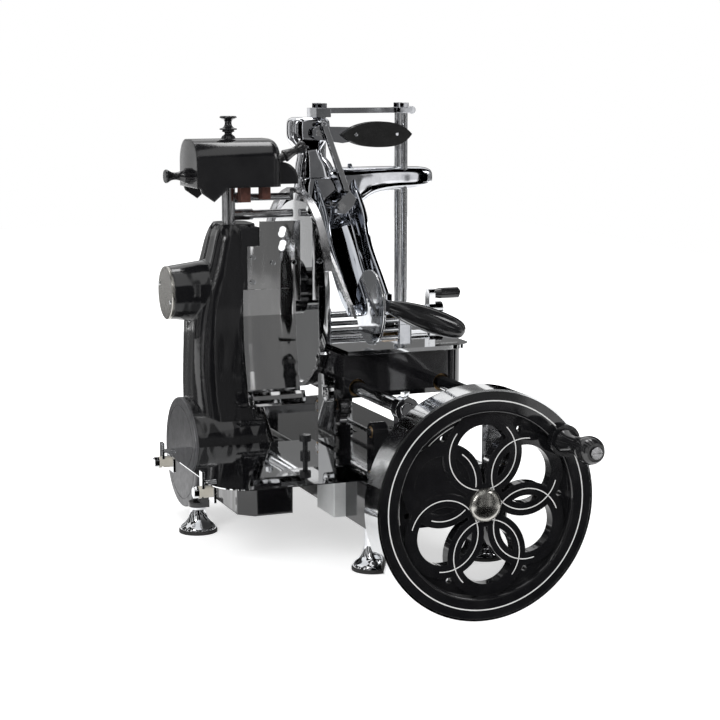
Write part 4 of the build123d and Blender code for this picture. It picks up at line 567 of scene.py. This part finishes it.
# The plinth ends behind the flywheel, which reaches below the plane of the feet.
PLINTH_FRONT_Y = -0.037
FLOOR_Z = -0.55
pale = stage_material("stage_white")
stage_box("plinth", (-3.0, PLINTH_FRONT_Y, FLOOR_Z), (3.0, 6.0, 0.0), pale)
stage_box("floor", (-8.0, -8.0, FLOOR_Z - 0.02), (8.0, 8.0, FLOOR_Z), pale)

# Cards round the stage, seen only in reflections, as a photographer sets them for chrome.
CARD_RADIUS = 3.0
CARD_CENTRE_Y = 0.2
CARD_LOW = -0.54
CARD_HIGH = 2.3
CARD_SPLIT = -0.25
CARD_TOP_SPLIT = 0.03
DEGREES_PER_CARD_STEP = 6
DARK_SPANS = (
    (-178, -160), (-152, -143), (-136, -128), (-121, -88), (-58, -41), (-36, -28), (-22, -4), (4, 14), (20, 58),
    (98, 106), (117, 127), (132, 146), (151, 159), (164, 177),
)
FRONT_SPANS = ((-86, -62), (-127, -122))
# Each row: level, bottom, top, and spans in degrees. The first row also has the level cards.
CARDS = (
    (0.0, CARD_LOW, CARD_HIGH, DARK_SPANS),
    (0.26, CARD_SPLIT, CARD_TOP_SPLIT, FRONT_SPANS),
    (0.14, CARD_TOP_SPLIT, CARD_HIGH, FRONT_SPANS),
    (0.16, 0.0, 1.3, ((60, 84),)),
    (0.02, CARD_LOW, CARD_SPLIT, FRONT_SPANS),
    (0.10, CARD_LOW, CARD_HIGH, ((-142, -137), (-40, -37), (14, 19), (146, 151))),
    (0.42, CARD_LOW, CARD_HIGH, ((108, 116),)),
)
CEILING_Z = 2.5
CEILING_Y = (-3.0, 1.2)
CEILING_X = ((-3.0, -1.5), (-1.1, -0.5), (0.1, 0.45), (0.8, 3.0))
FLOOR_CARD = ((-0.7, -3.1), (1.9, -3.1), (1.9, -0.45), (-0.7, -0.45))
BACK_LEVEL = 0.14
BACK_CARD_Z = 0.004
BACK_CARD = ((-1.5, 0.85), (-0.12, 0.85), (-0.45, 3.0), (-2.2, 3.0))


def flat_card(work, corners, z):
    """Level card through four corners."""
    work.faces.new([work.verts.new((x, y, z)) for x, y in corners])


def upright_cards(work, low, high, spans):
    """Upright cards on a circle round the machine."""
    for start, end in spans:
        steps = max(2, int((end - start) / DEGREES_PER_CARD_STEP))
        rows = []
        for step in range(steps + 1):
            turn = math.radians(start + (end - start) * step / steps)
            x = CARD_RADIUS * math.cos(turn)
            y = CARD_CENTRE_Y + CARD_RADIUS * math.sin(turn)
            rows.append((work.verts.new((x, y, low)), work.verts.new((x, y, high))))
        for here, there in zip(rows, rows[1:]):
            work.faces.new((here[0], there[0], there[1], here[1]))


def overhead_and_floor_cards(work):
    """Dark strips overhead with light gaps, and a dark card on the floor in front."""
    y0, y1 = CEILING_Y
    for x0, x1 in CEILING_X:
        flat_card(work, ((x0, y0), (x1, y0), (x1, y1), (x0, y1)), CEILING_Z)
    flat_card(work, FLOOR_CARD, CARD_LOW)


def card_material(name, level):
    """Even card: black, or a grey that shows its own level in reflections."""
    made = bpy.data.materials.new(name)
    made.use_nodes = True
    tree = made.node_tree
    tree.nodes.clear()
    shine = node(tree, "ShaderNodeEmission", Strength=level)
    out = tree.nodes.new("ShaderNodeOutputMaterial")
    tree.links.new(shine.outputs[0], out.inputs["Surface"])
    return made


def add_cards(index, level, build):
    """Cards of one level, hidden from everything but reflections."""
    mesh = mesh_of("cards", build)
    card = placed(f"cards_{index}", mesh)
    mesh.materials.append(card_material(f"card_{index}", level))
    card.visible_camera = False
    card.visible_diffuse = False
    card.visible_shadow = False
    card.visible_transmission = False


for index, (level, low, high, spans) in enumerate(CARDS):

    def build_cards(work):
        """Cards of this row."""
        upright_cards(work, low, high, spans)
        if index == 0:
            overhead_and_floor_cards(work)

    add_cards(index, level, build_cards)
add_cards(len(CARDS), BACK_LEVEL, lambda work: flat_card(work, BACK_CARD, BACK_CARD_Z))

WHITE = (1, 1, 1, 1)
world = bpy.data.worlds.new("studio")
bpy.context.scene.world = world
world.use_nodes = True
tree = world.node_tree
tree.nodes.clear()
white = node(tree, "ShaderNodeBackground", Color=WHITE, Strength=1.0)
soft = node(tree, "ShaderNodeBackground", Color=WHITE, Strength=0.5)
mixed = tree.nodes.new("ShaderNodeMixShader")
tree.links.new(direct_rays(tree), mixed.inputs["Fac"])
tree.links.new(soft.outputs[0], mixed.inputs[1])
tree.links.new(white.outputs[0], mixed.inputs[2])
out = tree.nodes.new("ShaderNodeOutputWorld")
tree.links.new(mixed.outputs[0], out.inputs["Surface"])


def aim(made, place, direction):
    """Put a lamp or the camera at a place and turn it to a direction."""
    made.location = place
    made.rotation_mode = "QUATERNION"
    made.rotation_quaternion = direction.to_track_quat("-Z", "Y")


def lamp(name, place, target, size, watts):
    """Soft box lamp that looks at a target."""
    data = bpy.data.lights.new(name, "AREA")
    data.shape = "RECTANGLE"
    data.size, data.size_y = size
    data.energy = watts
    aim(placed(name, data), place, Vector(target) - Vector(place))


lamp("key_lamp", place=(-2.3, -1.9, 2.1), target=(0.0, 0.2, 0.3), size=(0.9, 1.7), watts=52)
lamp("fill_lamp", place=(2.4, -1.6, 1.7), target=(0.05, 0.2, 0.3), size=(0.8, 1.6), watts=24)
lamp("top_lamp", place=(0.2, 0.9, 2.6), target=(0.0, 0.2, 0.3), size=(1.4, 0.9), watts=20)

# ---------------------------------------------------------------- camera
CAMERA_PLACE = (-0.9716, -2.4010, 0.7378)
CAMERA_DIRECTION = (0.36387, 0.91760, -0.16006)
camera_data = bpy.data.cameras.new("camera")
camera_data.lens = 89.01
camera_data.sensor_width = 36.0
camera = placed("camera", camera_data)
aim(camera, CAMERA_PLACE, Vector(CAMERA_DIRECTION))
bpy.context.scene.camera = camera
bpy.context.scene.view_settings.view_transform = "Standard"
